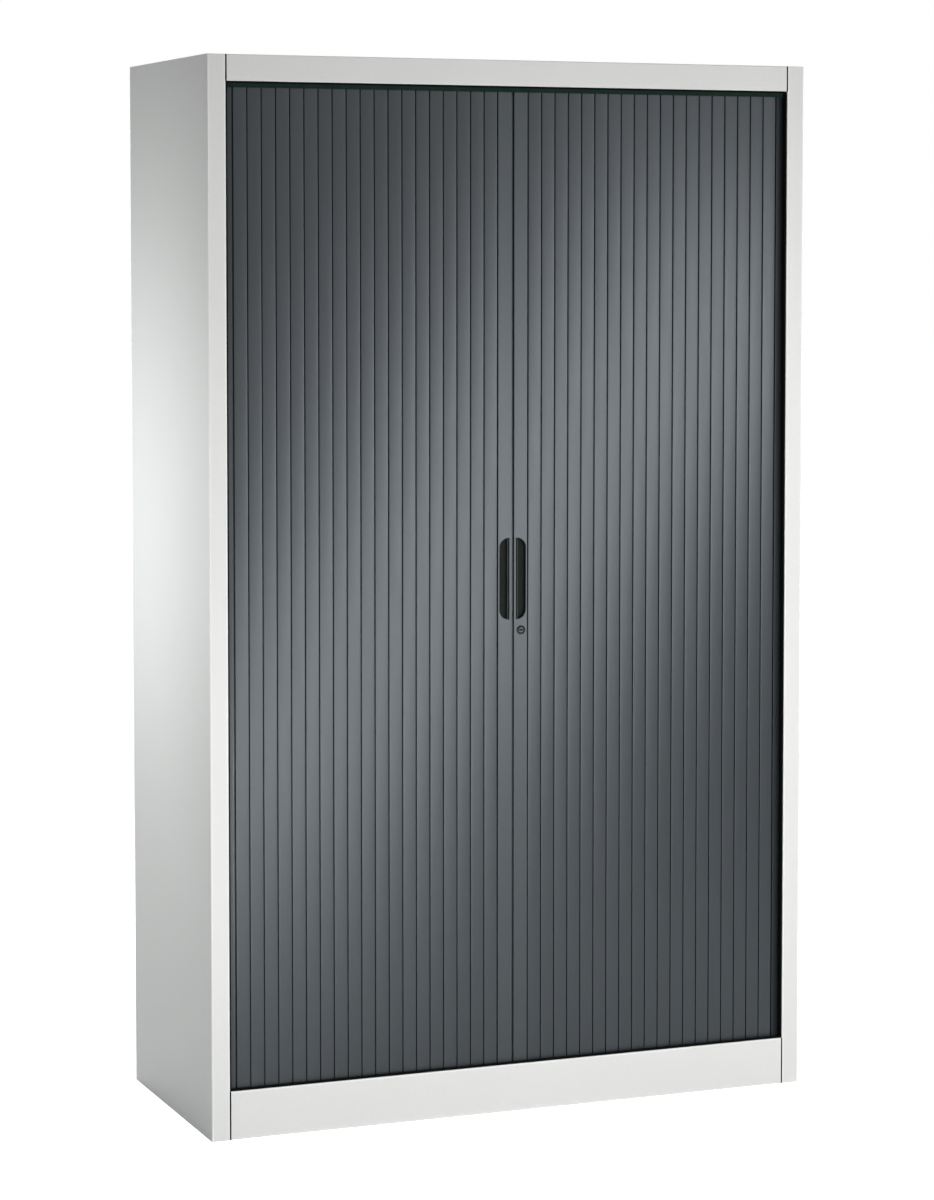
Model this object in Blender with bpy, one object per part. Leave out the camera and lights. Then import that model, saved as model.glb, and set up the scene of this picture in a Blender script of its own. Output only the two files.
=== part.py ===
"""Tambour door cabinet of sheet steel, with two slatted shutters that slide sideways.

Metres, +Z up. The origin is the middle of the footprint, and the front faces -Y. Each shutter
runs behind the plinth and the fascia, turns the front corner and parks in a pocket between the
side panel and an inner liner. At rest both shutters are closed and the lock is open.
"""

import math

import bmesh
import bpy

# Overall sizes
WIDTH = 1.200
DEPTH = 0.500
HEIGHT = 1.980

# Clearances that many pieces share
SEAT_GAP = 0.0003  # between pieces that touch
OVERRUN = 0.004  # how far a cutter passes the face it cuts

# Sheet metal of the carcass
SHEET = 0.001
STILE_WIDTH = 0.035
RETURN_DEPTH = 0.010  # folded edges of the stiles, the fascia and the plinth
REAR_RETURN = 0.020
FASCIA_HEIGHT = 0.048
PLINTH_HEIGHT = 0.090
SEAM = 0.002  # between a stile and the fascia or the plinth
FLOOR_DROP = 0.015  # floor panel below the plinth's top edge
CEILING_RISE = 0.015  # ceiling panel above the fascia's bottom edge

# Slats of the shutters
SLAT_PITCH = 0.0272
SLAT_THICKNESS = 0.009
SLAT_CROWN = 0.0022
SLAT_SKIN = 0.0018
SLAT_GROOVE = 0.0020
SLAT_GROOVE_DEPTH = 0.0014
SLAT_RIB = 0.0034
SLAT_BUNDLES = 5  # groups of slats on each side, one piece each
CROWN_STEPS = 4
SHUTTER_RECESS = 0.015  # slat fronts behind the cabinet's front
SHUTTER_END_PLAY = 0.0006
CENTRE_GAP = 0.0062

# Lead bars, the flat bars where the shutters meet
LEAD_WIDTH = 0.0276
LEAD_DEPTH = 0.016
LEAD_WALL = 0.0018
LEAD_LIP = 0.005
LEAD_END_PLAY = 0.0015

# Tracks that guide the slat ends
BEND_RADIUS = 0.043
BEND_STEPS = 7
TRACK_WALL = 0.002
TRACK_BASE = 0.0015
TRACK_HEIGHT = 0.0115
TRACK_PLAY = 0.00075
TRACK_SPARE = 0.015  # track left behind the last slat of an open shutter

# Finger pulls in the lead bars
PULL_WIDTH = 0.0212
PULL_HEIGHT = 0.155
PULL_CENTRE_HEIGHT = 1.0115
PULL_OUTER_RADIUS = 0.016
PULL_INNER_RADIUS = 0.0015
PULL_DEPTH = 0.0125
PULL_WALL = 0.0012
PULL_PROUD = 0.0004
PULL_EDGE = 0.003  # lead bar left between the pull and the centre gap
PULL_LIP_WIDTH = 0.0016
PULL_LIP_INSET = 0.0014
PULL_LIP_DROP = 0.0012
ARC_STEPS = 6

# Lock in the right lead bar
LOCK_DROP = 0.020  # lock axis below the pulls
LOCK_RING_RADIUS = 0.0086
LOCK_RING_PROUD = 0.0018
LOCK_BODY_RADIUS = 0.0070
LOCK_BORE_RADIUS = 0.0053
PLUG_PROUD = 0.0003
KEYWAY_LENGTH = 0.0072  # level while the lock is open
KEYWAY_WIDTH = 0.0022
KEYWAY_DEPTH = 0.004
TANG_WIDTH = 0.005
HOOK_THICKNESS = 0.0025
HOOK_WIDTH = 0.009
HOOK_TOOTH_WIDTH = 0.006
HOOK_TOOTH_HEIGHT = 0.010
STRIKE_LIP_WIDTH = 0.003
STRIKE_LIP_HEIGHT = 0.010
STRIKE_PLATE_HEIGHT = 0.022
STRIKE_EDGE = 0.0028  # bar left between the strike and each side of the lead bar
HOOK_CLEARANCE = 0.0015
ROUND_STEPS = 24

# Pocket liners, shelves and shelf clips
LINER_SETBACK = 0.005
LINER_END_SPACE = 0.004  # between the track's rear end and the liner's last fold
BAY_SLOTS = 8  # rows of slots from one shelf to the next
SLOT_WIDTH = 0.012
SLOT_HEIGHT = 0.0036
SLOT_COLUMN_INSET = 0.055
SHELF_COUNT = 4
SHELF_FLANGE = 0.025
SHELF_FRONT_SPACE = 0.034  # between the lead bars and the shelves
SHELF_SIDE_PLAY = 0.0015
CLIP_REACH = 0.014
CLIP_LEDGE = 0.0025
CLIP_PLATE = 0.0018
CLIP_HEIGHT = 0.018
CLIP_BARB = 0.0010

# Levelling feet and the brackets that hold them
BRACKET_SHEET = 0.003
BRACKET_REACH = 0.085
BRACKET_LENGTH = 0.060
BRACKET_HEIGHT = 0.045
NUT_RADIUS = 0.0098
NUT_HEIGHT = 0.008
NUT_SIDES = 6
STEM_RADIUS = 0.005
FOOT_RADIUS = 0.018
FOOT_HEIGHT = 0.008
FOOT_LIFT = 0.001  # foot above the ground while it is screwed in
STEM_TOP = 0.060
SOCKET_RADIUS = 0.0028
SOCKET_DEPTH = 0.005
ACCESS_RADIUS = 0.007

# Faces and heights that pieces share
HALF_WIDTH = WIDTH / 2
FRONT = -DEPTH / 2
REAR = DEPTH / 2
SIDE_INNER = HALF_WIDTH - SHEET
PANEL_HALF = SIDE_INNER - SEAT_GAP
STILE_INNER = HALF_WIDTH - STILE_WIDTH
FASCIA_HALF = STILE_INNER - SEAM
RETURN_END = FRONT + RETURN_DEPTH
BACK_FRONT = REAR - SHEET - SEAT_GAP - SHEET
FLOOR_TOP = PLINTH_HEIGHT - FLOOR_DROP
CEILING_BOTTOM = HEIGHT - FASCIA_HEIGHT + CEILING_RISE

# The path of the slats' middle plane, seen from above on the right side
TRACK_HALF = SLAT_THICKNESS / 2 + TRACK_PLAY + TRACK_WALL
FRONT_RUN = FRONT + SHUTTER_RECESS + SLAT_THICKNESS / 2
SIDE_RUN = SIDE_INNER - SEAT_GAP - TRACK_HALF
REAR_RUN = BACK_FRONT - SEAT_GAP - TRACK_HALF
BEND_X = SIDE_RUN - BEND_RADIUS
FRONT_BEND = FRONT_RUN + BEND_RADIUS
REAR_BEND = REAR_RUN - BEND_RADIUS
BEND_LENGTH = BEND_RADIUS * math.pi / 2
SIDE_LENGTH = REAR_BEND - FRONT_BEND

# Lead bars and slats along that path
LEAD_INNER = CENTRE_GAP / 2
LEAD_OUTER = LEAD_INNER + LEAD_WIDTH
LEAD_FRONT = FRONT + SHUTTER_RECESS
LEAD_BACK = LEAD_FRONT + LEAD_DEPTH
SHUTTER_TRAVEL = BEND_X - LEAD_OUTER - SEAT_GAP
SLAT_START = LEAD_OUTER + SEAT_GAP / 2
SLAT_COUNT = 1 + math.floor((BEND_X - SLAT_START) / SLAT_PITCH)
PARKED_END = SLAT_START + SLAT_COUNT * SLAT_PITCH + SHUTTER_TRAVEL
REAR_LENGTH = max(0, PARKED_END - BEND_X - 2 * BEND_LENGTH - SIDE_LENGTH) + TRACK_SPARE
TRACK_LENGTH = BEND_X + 2 * BEND_LENGTH + SIDE_LENGTH + REAR_LENGTH

# Heights of the tracks and of what runs in them
LOWER_TRACK_TOP = FLOOR_TOP + SEAT_GAP + TRACK_HEIGHT
UPPER_TRACK_BOTTOM = CEILING_BOTTOM - SEAT_GAP - TRACK_HEIGHT
SLAT_BOTTOM = FLOOR_TOP + SEAT_GAP + TRACK_BASE + SHUTTER_END_PLAY
SLAT_TOP = CEILING_BOTTOM - SEAT_GAP - TRACK_BASE - SHUTTER_END_PLAY
LEAD_BOTTOM = LOWER_TRACK_TOP + LEAD_END_PLAY
LEAD_TOP = UPPER_TRACK_BOTTOM - LEAD_END_PLAY

# Pulls and lock
PULL_INNER = LEAD_INNER + PULL_EDGE
PULL_OUTER = PULL_INNER + PULL_WIDTH
PULL_BOTTOM = PULL_CENTRE_HEIGHT - PULL_HEIGHT / 2
PULL_TOP = PULL_CENTRE_HEIGHT + PULL_HEIGHT / 2
LOCK_X = (LEAD_INNER + LEAD_OUTER) / 2
LOCK_HEIGHT = PULL_BOTTOM - LOCK_DROP
HOOK_FRONT = LEAD_BACK + SEAT_GAP
HOOK_BACK = HOOK_FRONT + HOOK_THICKNESS
STRIKE_INNER = LEAD_INNER + STRIKE_EDGE
TOOTH_NEAR = LOCK_X + STRIKE_INNER + STRIKE_LIP_WIDTH + HOOK_CLEARANCE
TOOTH_FAR = TOOTH_NEAR + HOOK_TOOTH_WIDTH

# Liners and shelves
LINER_OUTER = SIDE_RUN - TRACK_HALF - SEAT_GAP
LINER_INNER = LINER_OUTER - SHEET
LINER_FRONT = FRONT_BEND + LINER_SETBACK
LINER_LEG_REAR = REAR_RUN - TRACK_HALF - SEAT_GAP
LINER_LEG_END = BEND_X - REAR_LENGTH - LINER_END_SPACE
LINER_BEND_RADIUS = BEND_RADIUS - TRACK_HALF - SEAT_GAP
SHELF_FRONT = LEAD_BACK + SHELF_FRONT_SPACE
SHELF_REAR = REAR_BEND
SHELF_HALF = LINER_INNER - SHELF_SIDE_PLAY
SLOT_COLUMNS = (SHELF_FRONT + SLOT_COLUMN_INSET, SHELF_REAR - SLOT_COLUMN_INSET)
SLOT_SPACES = BAY_SLOTS * (SHELF_COUNT + 1)
SLOT_PITCH = (CEILING_BOTTOM - FLOOR_TOP) / SLOT_SPACES

# Name, linear colour, roughness and metallic share of each finish
FINISH_SHARES = {
    "coat": ("light_grey_powder_coat", (0.71, 0.71, 0.69), 0.45, 0.0),
    "slat": ("anthracite_slat_plastic", (0.107, 0.119, 0.133), 0.42, 0.0),
    "bar": ("anthracite_bar_coat", (0.126, 0.140, 0.155), 0.45, 0.0),
    "black": ("black_moulded_plastic", (0.0137, 0.0155, 0.0155), 0.40, 0.0),
    "track": ("dark_track_plastic", (0.0100, 0.0173, 0.0155), 0.50, 0.0),
    "chrome": ("chromed_lock_metal", (0.571, 0.587, 0.604), 0.18, 1.0),
    "zinc": ("zinc_plated_steel", (0.393, 0.420, 0.434), 0.35, 1.0),
    "rubber": ("black_foot_plastic", (0.0086, 0.0086, 0.0086), 0.60, 0.0),
}
SMOOTH_LIMIT = math.radians(30)  # steeper edges are shaded sharp


def finish(name, colour_shares, roughness_share, metallic_share):
    """A Principled material."""
    made = bpy.data.materials.new(name)
    made.use_nodes = True
    shader = made.node_tree.nodes["Principled BSDF"]
    shader.inputs["Base Color"].default_value = (*colour_shares, 1)
    shader.inputs["Roughness"].default_value = roughness_share
    shader.inputs["Metallic"].default_value = metallic_share
    made.diffuse_color = (*colour_shares, 1)
    return made


def clear_scene():
    for obj in list(bpy.data.objects):
        bpy.data.objects.remove(obj, do_unlink=True)


def linked(name, mesh):
    """A new object in the scene that holds the mesh."""
    obj = bpy.data.objects.new(name, mesh)
    bpy.context.scene.collection.objects.link(obj)
    return obj


def object_from(name, bm):
    """Closes a bmesh into an object with its faces pointing out."""
    bmesh.ops.recalc_face_normals(bm, faces=bm.faces)
    mesh = bpy.data.meshes.new(name)
    bm.to_mesh(mesh)
    bm.free()
    return linked(name, mesh)


def spread(low, high):
    """Eight corners between two opposite ones."""
    return [(x, y, z) for x in (low[0], high[0]) for y in (low[1], high[1]) for z in (low[2], high[2])]


def add_box(bm, low, high):
    """One closed box, whatever the order of its two corners."""
    corners = [bm.verts.new(corner) for corner in spread(low, high)]
    for face in ((0, 1, 3, 2), (4, 6, 7, 5), (0, 4, 5, 1), (2, 3, 7, 6), (0, 2, 6, 4), (1, 5, 7, 3)):
        bm.faces.new([corners[index] for index in face])


def box(name, low, high):
    bm = bmesh.new()
    add_box(bm, low, high)
    return object_from(name, bm)


def boxes(name, pairs):
    """Several separate boxes in one object, for cutters."""
    bm = bmesh.new()
    for low, high in pairs:
        add_box(bm, low, high)
    return object_from(name, bm)


def prism(name, outline, start, end, axis):
    """A flat outline drawn out along one axis. The outline's points are the other two, in order."""
    places = {
        "X": lambda point, along: (along, point[0], point[1]),
        "Y": lambda point, along: (point[0], along, point[1]),
        "Z": lambda point, along: (point[0], point[1], along),
    }
    bm = bmesh.new()
    loops = [[bm.verts.new(places[axis](point, along)) for point in outline] for along in (start, end)]
    bm.faces.new(loops[0])
    bm.faces.new(loops[1])
    for index in range(len(outline)):
        after = (index + 1) % len(outline)
        bm.faces.new([loops[0][index], loops[0][after], loops[1][after], loops[1][index]])
    return object_from(name, bm)


def tray(name, low, high, opens_up):
    """A sheet with four folded edges, open upwards or downwards."""
    bm = bmesh.new()
    add_box(bm, low, high)
    bmesh.ops.recalc_face_normals(bm, faces=bm.faces)
    way = 1 if opens_up else -1
    mouth = max(bm.faces, key=lambda face: way * face.calc_center_median().z)
    bmesh.ops.inset_individual(bm, faces=[mouth], thickness=SHEET, use_even_offset=True)
    pushed = bmesh.ops.extrude_discrete_faces(bm, faces=[mouth])["faces"][0]
    fall = -way * (high[2] - low[2] - SHEET)
    bmesh.ops.translate(bm, verts=pushed.verts, vec=(0, 0, fall))
    return object_from(name, bm)


def turned(name, profile, centre):
    """A profile of (radius, Y) points, turned once round the line along Y through the centre."""
    bm = bmesh.new()
    corners = [bm.verts.new((centre[0] + radius, y, centre[2])) for radius, y in profile]
    edges = [bm.edges.new((corners[i - 1], corners[i])) for i in range(len(corners))]
    bmesh.ops.spin(
        bm,
        geom=corners + edges,
        cent=centre,
        axis=(0, 1, 0),
        steps=ROUND_STEPS,
        angle=2 * math.pi,
        use_merge=True,
    )
    return object_from(name, bm)


def circle(centre, radius, steps=ROUND_STEPS):
    turns = [2 * math.pi * step / steps for step in range(steps)]
    return [(centre[0] + radius * math.cos(turn), centre[1] + radius * math.sin(turn)) for turn in turns]


def folded(path, thickness):
    """The outline of a folded sheet: the path is one face, and the other lies to its left."""
    other = []
    for index, point in enumerate(path):
        ways = []
        for start, end in ((index - 1, index), (index, index + 1)):
            if start >= 0 and end < len(path):
                run = (path[end][0] - path[start][0], path[end][1] - path[start][1])
                size = math.hypot(*run)
                ways.append((-run[1] / size, run[0] / size))
        if len(ways) == 1:
            ways.append(ways[0])
        share = 1 + ways[0][0] * ways[1][0] + ways[0][1] * ways[1][1]
        other.append(tuple(point[i] + thickness * (ways[0][i] + ways[1][i]) / share for i in range(2)))
    return list(path) + other[::-1]


def mirrored(outline, side):
    return [(side * point[0], point[1]) for point in outline]


def side_name(side):
    return "right" if side > 0 else "left"


def combine(target, tool, operation):
    """Adds a Boolean to the target, with the tool kept as a hidden helper."""
    tool.hide_render = True
    tool.display_type = "WIRE"
    made = target.modifiers.new(f"{operation.lower()}_{tool.name}", "BOOLEAN")
    made.object = tool
    made.operation = operation
    made.solver = "EXACT"


def cut(target, tool):
    combine(target, tool, "DIFFERENCE")


def fuse(target, tool):
    combine(target, tool, "UNION")


def dress(obj, material, parent=None, origin=None):
    """Gives a piece its material and its parent, and moves its origin without moving its shape."""
    obj.data.materials.append(material)
    obj.data.shade_smooth()
    obj.data.set_sharp_from_angle(angle=SMOOTH_LIMIT)
    place = origin or (tuple(parent.location) if parent else (0, 0, 0))
    bm = bmesh.new()
    bm.from_mesh(obj.data)
    bmesh.ops.translate(bm, verts=bm.verts, vec=[-value for value in place])
    bm.to_mesh(obj.data)
    bm.free()
    obj.parent = parent
    held = tuple(parent.location) if parent else (0, 0, 0)
    obj.location = [place[i] - held[i] for i in range(3)]
    return obj


def empty(name, place):
    obj = linked(name, None)
    obj.location = place
    return obj


# Carcass


def make_side_panel(side, material):
    """Side sheet with the front stile, the stile's folded edge and the rear return, from one block."""
    name = f"{side_name(side)}_side_panel"
    panel = box(name, (side * STILE_INNER, FRONT, 0), (side * HALF_WIDTH, REAR, HEIGHT))
    beyond = side * (STILE_INNER - OVERRUN)
    cut(
        panel,
        box(
            f"{name}_stile_hollow",
            (side * (STILE_INNER + SHEET), FRONT + SHEET, -OVERRUN),
            (side * SIDE_INNER, RETURN_END + OVERRUN, HEIGHT - SHEET),
        ),
    )
    cut(
        panel,
        box(
            f"{name}_pocket_hollow",
            (beyond, RETURN_END, -OVERRUN),
            (side * SIDE_INNER, REAR - SHEET, HEIGHT + OVERRUN),
        ),
    )
    cut(
        panel,
        box(
            f"{name}_return_trim",
            (beyond, REAR - SHEET - OVERRUN, -2 * OVERRUN),
            (side * (HALF_WIDTH - REAR_RETURN), REAR + OVERRUN, HEIGHT + 2 * OVERRUN),
        ),
    )
    return dress(panel, material)


def make_top_panel(material):
    """Top sheet folded down into the fascia in front and a flange behind."""
    path = [
        (REAR, HEIGHT - REAR_RETURN),
        (REAR, HEIGHT),
        (FRONT, HEIGHT),
        (FRONT, HEIGHT - FASCIA_HEIGHT),
        (RETURN_END, HEIGHT - FASCIA_HEIGHT),
    ]
    panel = prism("top_panel", folded(path, SHEET), -PANEL_HALF, PANEL_HALF, "X")
    notches = []
    for side in (-1, 1):
        outside = side * (HALF_WIDTH + OVERRUN)
        above = HEIGHT + OVERRUN
        below = HEIGHT - FASCIA_HEIGHT - OVERRUN
        notches.append(
            ((side * FASCIA_HALF, FRONT - OVERRUN, below), (outside, RETURN_END + SEAT_GAP, above))
        )
        notches.append(
            (
                (side * (HALF_WIDTH - REAR_RETURN - SEAT_GAP), REAR - SHEET - SEAT_GAP, below),
                (outside, REAR + OVERRUN, above),
            )
        )
    cut(panel, boxes("top_panel_corner_notches", notches))
    return dress(panel, material)


def make_ceiling_panel(material):
    low = (-PANEL_HALF, RETURN_END + SEAT_GAP, CEILING_BOTTOM)
    high = (PANEL_HALF, BACK_FRONT - SEAT_GAP, HEIGHT - SHEET - SEAT_GAP)
    return dress(tray("ceiling_panel", low, high, opens_up=True), material)


def foot_places():
    """Name, side and the plan position of each levelling foot: the middles of the track bends."""
    for row, y in (("front", FRONT_BEND), ("rear", REAR_BEND)):
        for side in (-1, 1):
            yield f"{row}_{side_name(side)}", side, (side * BEND_X, y)


def make_floor_panel(material):
    """Storage floor with deep folded edges, and a hole over each foot to reach it from inside."""
    low = (-PANEL_HALF, RETURN_END + SEAT_GAP, 0)
    high = (PANEL_HALF, BACK_FRONT - SEAT_GAP, FLOOR_TOP)
    panel = tray("floor_panel", low, high, opens_up=False)
    for name, _, place in foot_places():
        hole = circle(place, ACCESS_RADIUS)
        low_end = FLOOR_TOP - SHEET - OVERRUN
        cut(panel, prism(f"{name}_floor_hole", hole, low_end, FLOOR_TOP + OVERRUN, "Z"))
    return dress(panel, material)


def make_plinth_panel(material):
    path = [(RETURN_END, PLINTH_HEIGHT), (FRONT, PLINTH_HEIGHT), (FRONT, 0), (RETURN_END, 0)]
    return dress(prism("plinth_panel", folded(path, SHEET), -FASCIA_HALF, FASCIA_HALF, "X"), material)


def make_back_panel(material):
    top = HEIGHT - SHEET - SEAT_GAP
    panel = box("back_panel", (-PANEL_HALF, BACK_FRONT, 0), (PANEL_HALF, BACK_FRONT + SHEET, top))
    return dress(panel, material)


def slot_height(row):
    """The middle of a row of shelf slots, counted from one."""
    return FLOOR_TOP + row * SLOT_PITCH


def make_pocket_liner(side, material):
    """Inner wall of a shutter pocket, rolled round its rear corner, with two columns of shelf slots."""
    turns = [math.pi / 2 * step / BEND_STEPS for step in range(BEND_STEPS + 1)]
    rolled = [
        (BEND_X + LINER_BEND_RADIUS * math.cos(turn), REAR_BEND + LINER_BEND_RADIUS * math.sin(turn))
        for turn in turns
    ]
    path = [(LINER_OUTER, LINER_FRONT)]
    path += rolled
    path += [(LINER_LEG_END, LINER_LEG_REAR), (LINER_LEG_END, BACK_FRONT - SEAT_GAP)]
    name = f"{side_name(side)}_pocket_liner"
    outline = mirrored(folded(path, SHEET), side)
    liner = prism(name, outline, FLOOR_TOP + SEAT_GAP, CEILING_BOTTOM - SEAT_GAP, "Z")
    near = side * (LINER_INNER - OVERRUN)
    far = side * (LINER_OUTER + OVERRUN)
    half_width = SLOT_WIDTH / 2
    half_height = SLOT_HEIGHT / 2
    slots = []
    for column in SLOT_COLUMNS:
        for row in range(1, SLOT_SPACES):
            middle = slot_height(row)
            low = (near, column - half_width, middle - half_height)
            high = (far, column + half_width, middle + half_height)
            slots.append((low, high))
    cut(liner, boxes(f"{name}_slots", slots))
    return dress(liner, material)


# Shelves


def shelf_rows():
    """The number of each shelf and the slot row that it hangs in."""
    for shelf in range(1, SHELF_COUNT + 1):
        yield shelf, shelf * BAY_SLOTS


def ledge_top(row):
    """The height of a clip's ledge when its tongue sits in that row."""
    return slot_height(row) + CLIP_HEIGHT / 2


def make_shelf(number, row, material):
    bottom = ledge_top(row) + SEAT_GAP
    low = (-SHELF_HALF, SHELF_FRONT, bottom)
    high = (SHELF_HALF, SHELF_REAR, bottom + SHELF_FLANGE)
    return dress(tray(f"shelf_{number}", low, high, opens_up=False), material)


def make_shelf_clip(name, side, column, row, material):
    """Angle clip: a ledge under the shelf, a plate on the liner and a tongue through its slot."""
    top = ledge_top(row)
    face = LINER_INNER - SEAT_GAP
    tongue = (SLOT_HEIGHT / 2) - SEAT_GAP
    tip = LINER_OUTER + CLIP_BARB
    outline = [
        (face - CLIP_REACH, top),
        (face - CLIP_REACH, top - CLIP_LEDGE),
        (face - CLIP_PLATE, top - CLIP_LEDGE),
        (face - CLIP_PLATE, top - CLIP_HEIGHT),
        (face, top - CLIP_HEIGHT),
        (face, slot_height(row) - tongue),
        (tip, slot_height(row) - tongue),
        (tip, slot_height(row) + tongue),
        (face, slot_height(row) + tongue),
        (face, top),
    ]
    half = SLOT_WIDTH / 2 - SEAT_GAP
    clip = prism(name, mirrored(outline, side), column - half, column + half, "Y")
    return dress(clip, material)


def make_shelves(finishes):
    for number, row in shelf_rows():
        make_shelf(number, row, finishes["coat"])
        for place, column in zip(("front", "rear"), SLOT_COLUMNS):
            for side in (-1, 1):
                name = f"shelf_{number}_{place}_{side_name(side)}_clip"
                make_shelf_clip(name, side, column, row, finishes["zinc"])


# Tracks


def along_path(distance):
    """Plan position and heading after that distance along the right track, from the centre."""
    if distance <= BEND_X:
        return (distance, FRONT_RUN), 0
    distance -= BEND_X
    if distance <= BEND_LENGTH:
        turn = distance / BEND_RADIUS
        return (BEND_X + BEND_RADIUS * math.sin(turn), FRONT_BEND - BEND_RADIUS * math.cos(turn)), turn
    distance -= BEND_LENGTH
    if distance <= SIDE_LENGTH:
        return (SIDE_RUN, FRONT_BEND + distance), math.pi / 2
    distance -= SIDE_LENGTH
    if distance <= BEND_LENGTH:
        turn = math.pi / 2 + distance / BEND_RADIUS
        return (BEND_X + BEND_RADIUS * math.sin(turn), REAR_BEND - BEND_RADIUS * math.cos(turn)), turn
    distance -= BEND_LENGTH
    return (BEND_X - distance, REAR_RUN), math.pi


def track_stations():
    """Distances along the track where its channel needs a section."""
    stations = [SEAT_GAP / 2]
    for bend_start in (BEND_X, BEND_X + BEND_LENGTH + SIDE_LENGTH):
        stations += [bend_start + BEND_LENGTH * step / BEND_STEPS for step in range(BEND_STEPS + 1)]
    return stations + [TRACK_LENGTH]


def make_track(side, level, base, way, material):
    """Channel for the slat ends, open upwards or downwards, along the whole path."""
    inner = TRACK_HALF - TRACK_WALL
    section = [
        (-TRACK_HALF, 0),
        (TRACK_HALF, 0),
        (TRACK_HALF, TRACK_HEIGHT),
        (inner, TRACK_HEIGHT),
        (inner, TRACK_BASE),
        (-inner, TRACK_BASE),
        (-inner, TRACK_HEIGHT),
        (-TRACK_HALF, TRACK_HEIGHT),
    ]
    bm = bmesh.new()
    rings = []
    for distance in track_stations():
        (x, y), heading = along_path(distance)
        outward = (math.sin(heading), -math.cos(heading))
        ring = []
        for offset, rise in section:
            place = (side * (x + offset * outward[0]), y + offset * outward[1], base + way * rise)
            ring.append(bm.verts.new(place))
        rings.append(ring)
    bm.faces.new(rings[0])
    bm.faces.new(rings[-1])
    for first, second in zip(rings, rings[1:]):
        for index in range(len(section)):
            after = (index + 1) % len(section)
            bm.faces.new([first[index], first[after], second[after], second[index]])
    return dress(object_from(f"{side_name(side)}_{level}_track", bm), material)


def make_tracks(material):
    for side in (-1, 1):
        make_track(side, "lower", FLOOR_TOP + SEAT_GAP, 1, material)
        make_track(side, "upper", CEILING_BOTTOM - SEAT_GAP, -1, material)


# Shutters


def slat_faces(first, last):
    """Front and back face points of one slat, as (along, outward) pairs from its first edge."""
    length = SLAT_PITCH
    front = SLAT_THICKNESS / 2
    shoulder = front - SLAT_CROWN
    groove = SLAT_GROOVE / 2
    start = SEAT_GAP / 2 if first else 0
    end = length - (SEAT_GAP / 2 if last else 0)
    outer = [(start, shoulder - SLAT_GROOVE_DEPTH), (groove, shoulder - SLAT_GROOVE_DEPTH)]
    inner = [(start, -front), (SLAT_RIB / 2, -front)]
    for step in range(CROWN_STEPS + 1):
        share = step / CROWN_STEPS
        rise = SLAT_CROWN * 4 * share * (1 - share)
        outer.append((groove + share * (length - 2 * groove), shoulder + rise))
        inner.append((SLAT_RIB / 2 + share * (length - SLAT_RIB), shoulder - SLAT_SKIN + rise))
    outer += [(length - groove, shoulder - SLAT_GROOVE_DEPTH), (end, shoulder - SLAT_GROOVE_DEPTH)]
    inner += [(length - SLAT_RIB / 2, -front), (end, -front)]
    return outer, inner


def slat_outline(index, first, last):
    """Those faces at the slat's place along the path, as plan points on the right side."""
    start, _ = along_path(SLAT_START + index * SLAT_PITCH)
    end, _ = along_path(SLAT_START + (index + 1) * SLAT_PITCH)
    run = (end[0] - start[0], end[1] - start[1])
    size = math.hypot(*run)
    way = (run[0] / size, run[1] / size)
    faces = []
    for points in slat_faces(first, last):
        faces.append(
            [
                (
                    start[0] + along * size / SLAT_PITCH * way[0] + out * way[1],
                    start[1] + along * size / SLAT_PITCH * way[1] - out * way[0],
                )
                for along, out in points
            ]
        )
    return faces


def make_slat_bundle(side, number, slats, parent, material):
    """A few slats with the ribs that hinge them together, as one corrugated band."""
    front = []
    back = []
    for index in slats:
        outer, inner = slat_outline(index, index == slats[0], index == slats[-1])
        front += outer if index == slats[0] else outer[1:]
        back += inner if index == slats[0] else inner[1:]
        if index != slats[-1]:
            front.pop()
            back.pop()
    name = f"{side_name(side)}_slats_{number}"
    outline = mirrored(front + back[::-1], side)
    return dress(prism(name, outline, SLAT_BOTTOM, SLAT_TOP, "Z"), material, parent)


def make_lead_bar(side, parent, material):
    """Flat C-shaped bar that leads the shutter, with a tongue at each end for the tracks."""
    name = f"{side_name(side)}_lead_bar"
    path = [
        (LEAD_OUTER - LEAD_LIP, LEAD_BACK),
        (LEAD_OUTER, LEAD_BACK),
        (LEAD_OUTER, LEAD_FRONT),
        (LEAD_INNER, LEAD_FRONT),
        (LEAD_INNER, LEAD_BACK),
        (LEAD_INNER + LEAD_LIP, LEAD_BACK),
    ]
    outline = mirrored(folded(path[::-1], LEAD_WALL), side)
    bar = prism(name, outline, LEAD_BOTTOM, LEAD_TOP, "Z")
    half_wall = LEAD_WALL / 2
    tongue_back = FRONT_RUN + SLAT_THICKNESS / 2
    tongues = {
        "lower": (SLAT_BOTTOM, LEAD_BOTTOM + OVERRUN),
        "upper": (LEAD_TOP - OVERRUN, SLAT_TOP),
    }
    for end, (near, far) in tongues.items():
        low = (side * (LEAD_INNER + half_wall), LEAD_FRONT + half_wall, near)
        high = (side * (LEAD_OUTER - half_wall), tongue_back, far)
        fuse(bar, box(f"{name}_{end}_tongue", low, high))
    opening = mirrored(pull_outline(0), side)
    through = LEAD_FRONT + LEAD_WALL + OVERRUN
    cut(bar, prism(f"{name}_pull_opening", opening, LEAD_FRONT - OVERRUN, through, "Y"))
    if side > 0:
        hole = circle((LOCK_X, LOCK_HEIGHT), LOCK_BODY_RADIUS + SEAT_GAP)
        cut(bar, prism(f"{name}_lock_hole", hole, LEAD_FRONT - OVERRUN, through, "Y"))
    return dress(bar, material, parent)


def corner(centre, radius, start_degrees, end_degrees):
    """Points of a rounded corner."""
    turns = [
        math.radians(start_degrees + (end_degrees - start_degrees) * step / ARC_STEPS)
        for step in range(ARC_STEPS + 1)
    ]
    return [(centre[0] + radius * math.cos(turn), centre[1] + radius * math.sin(turn)) for turn in turns]


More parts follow.
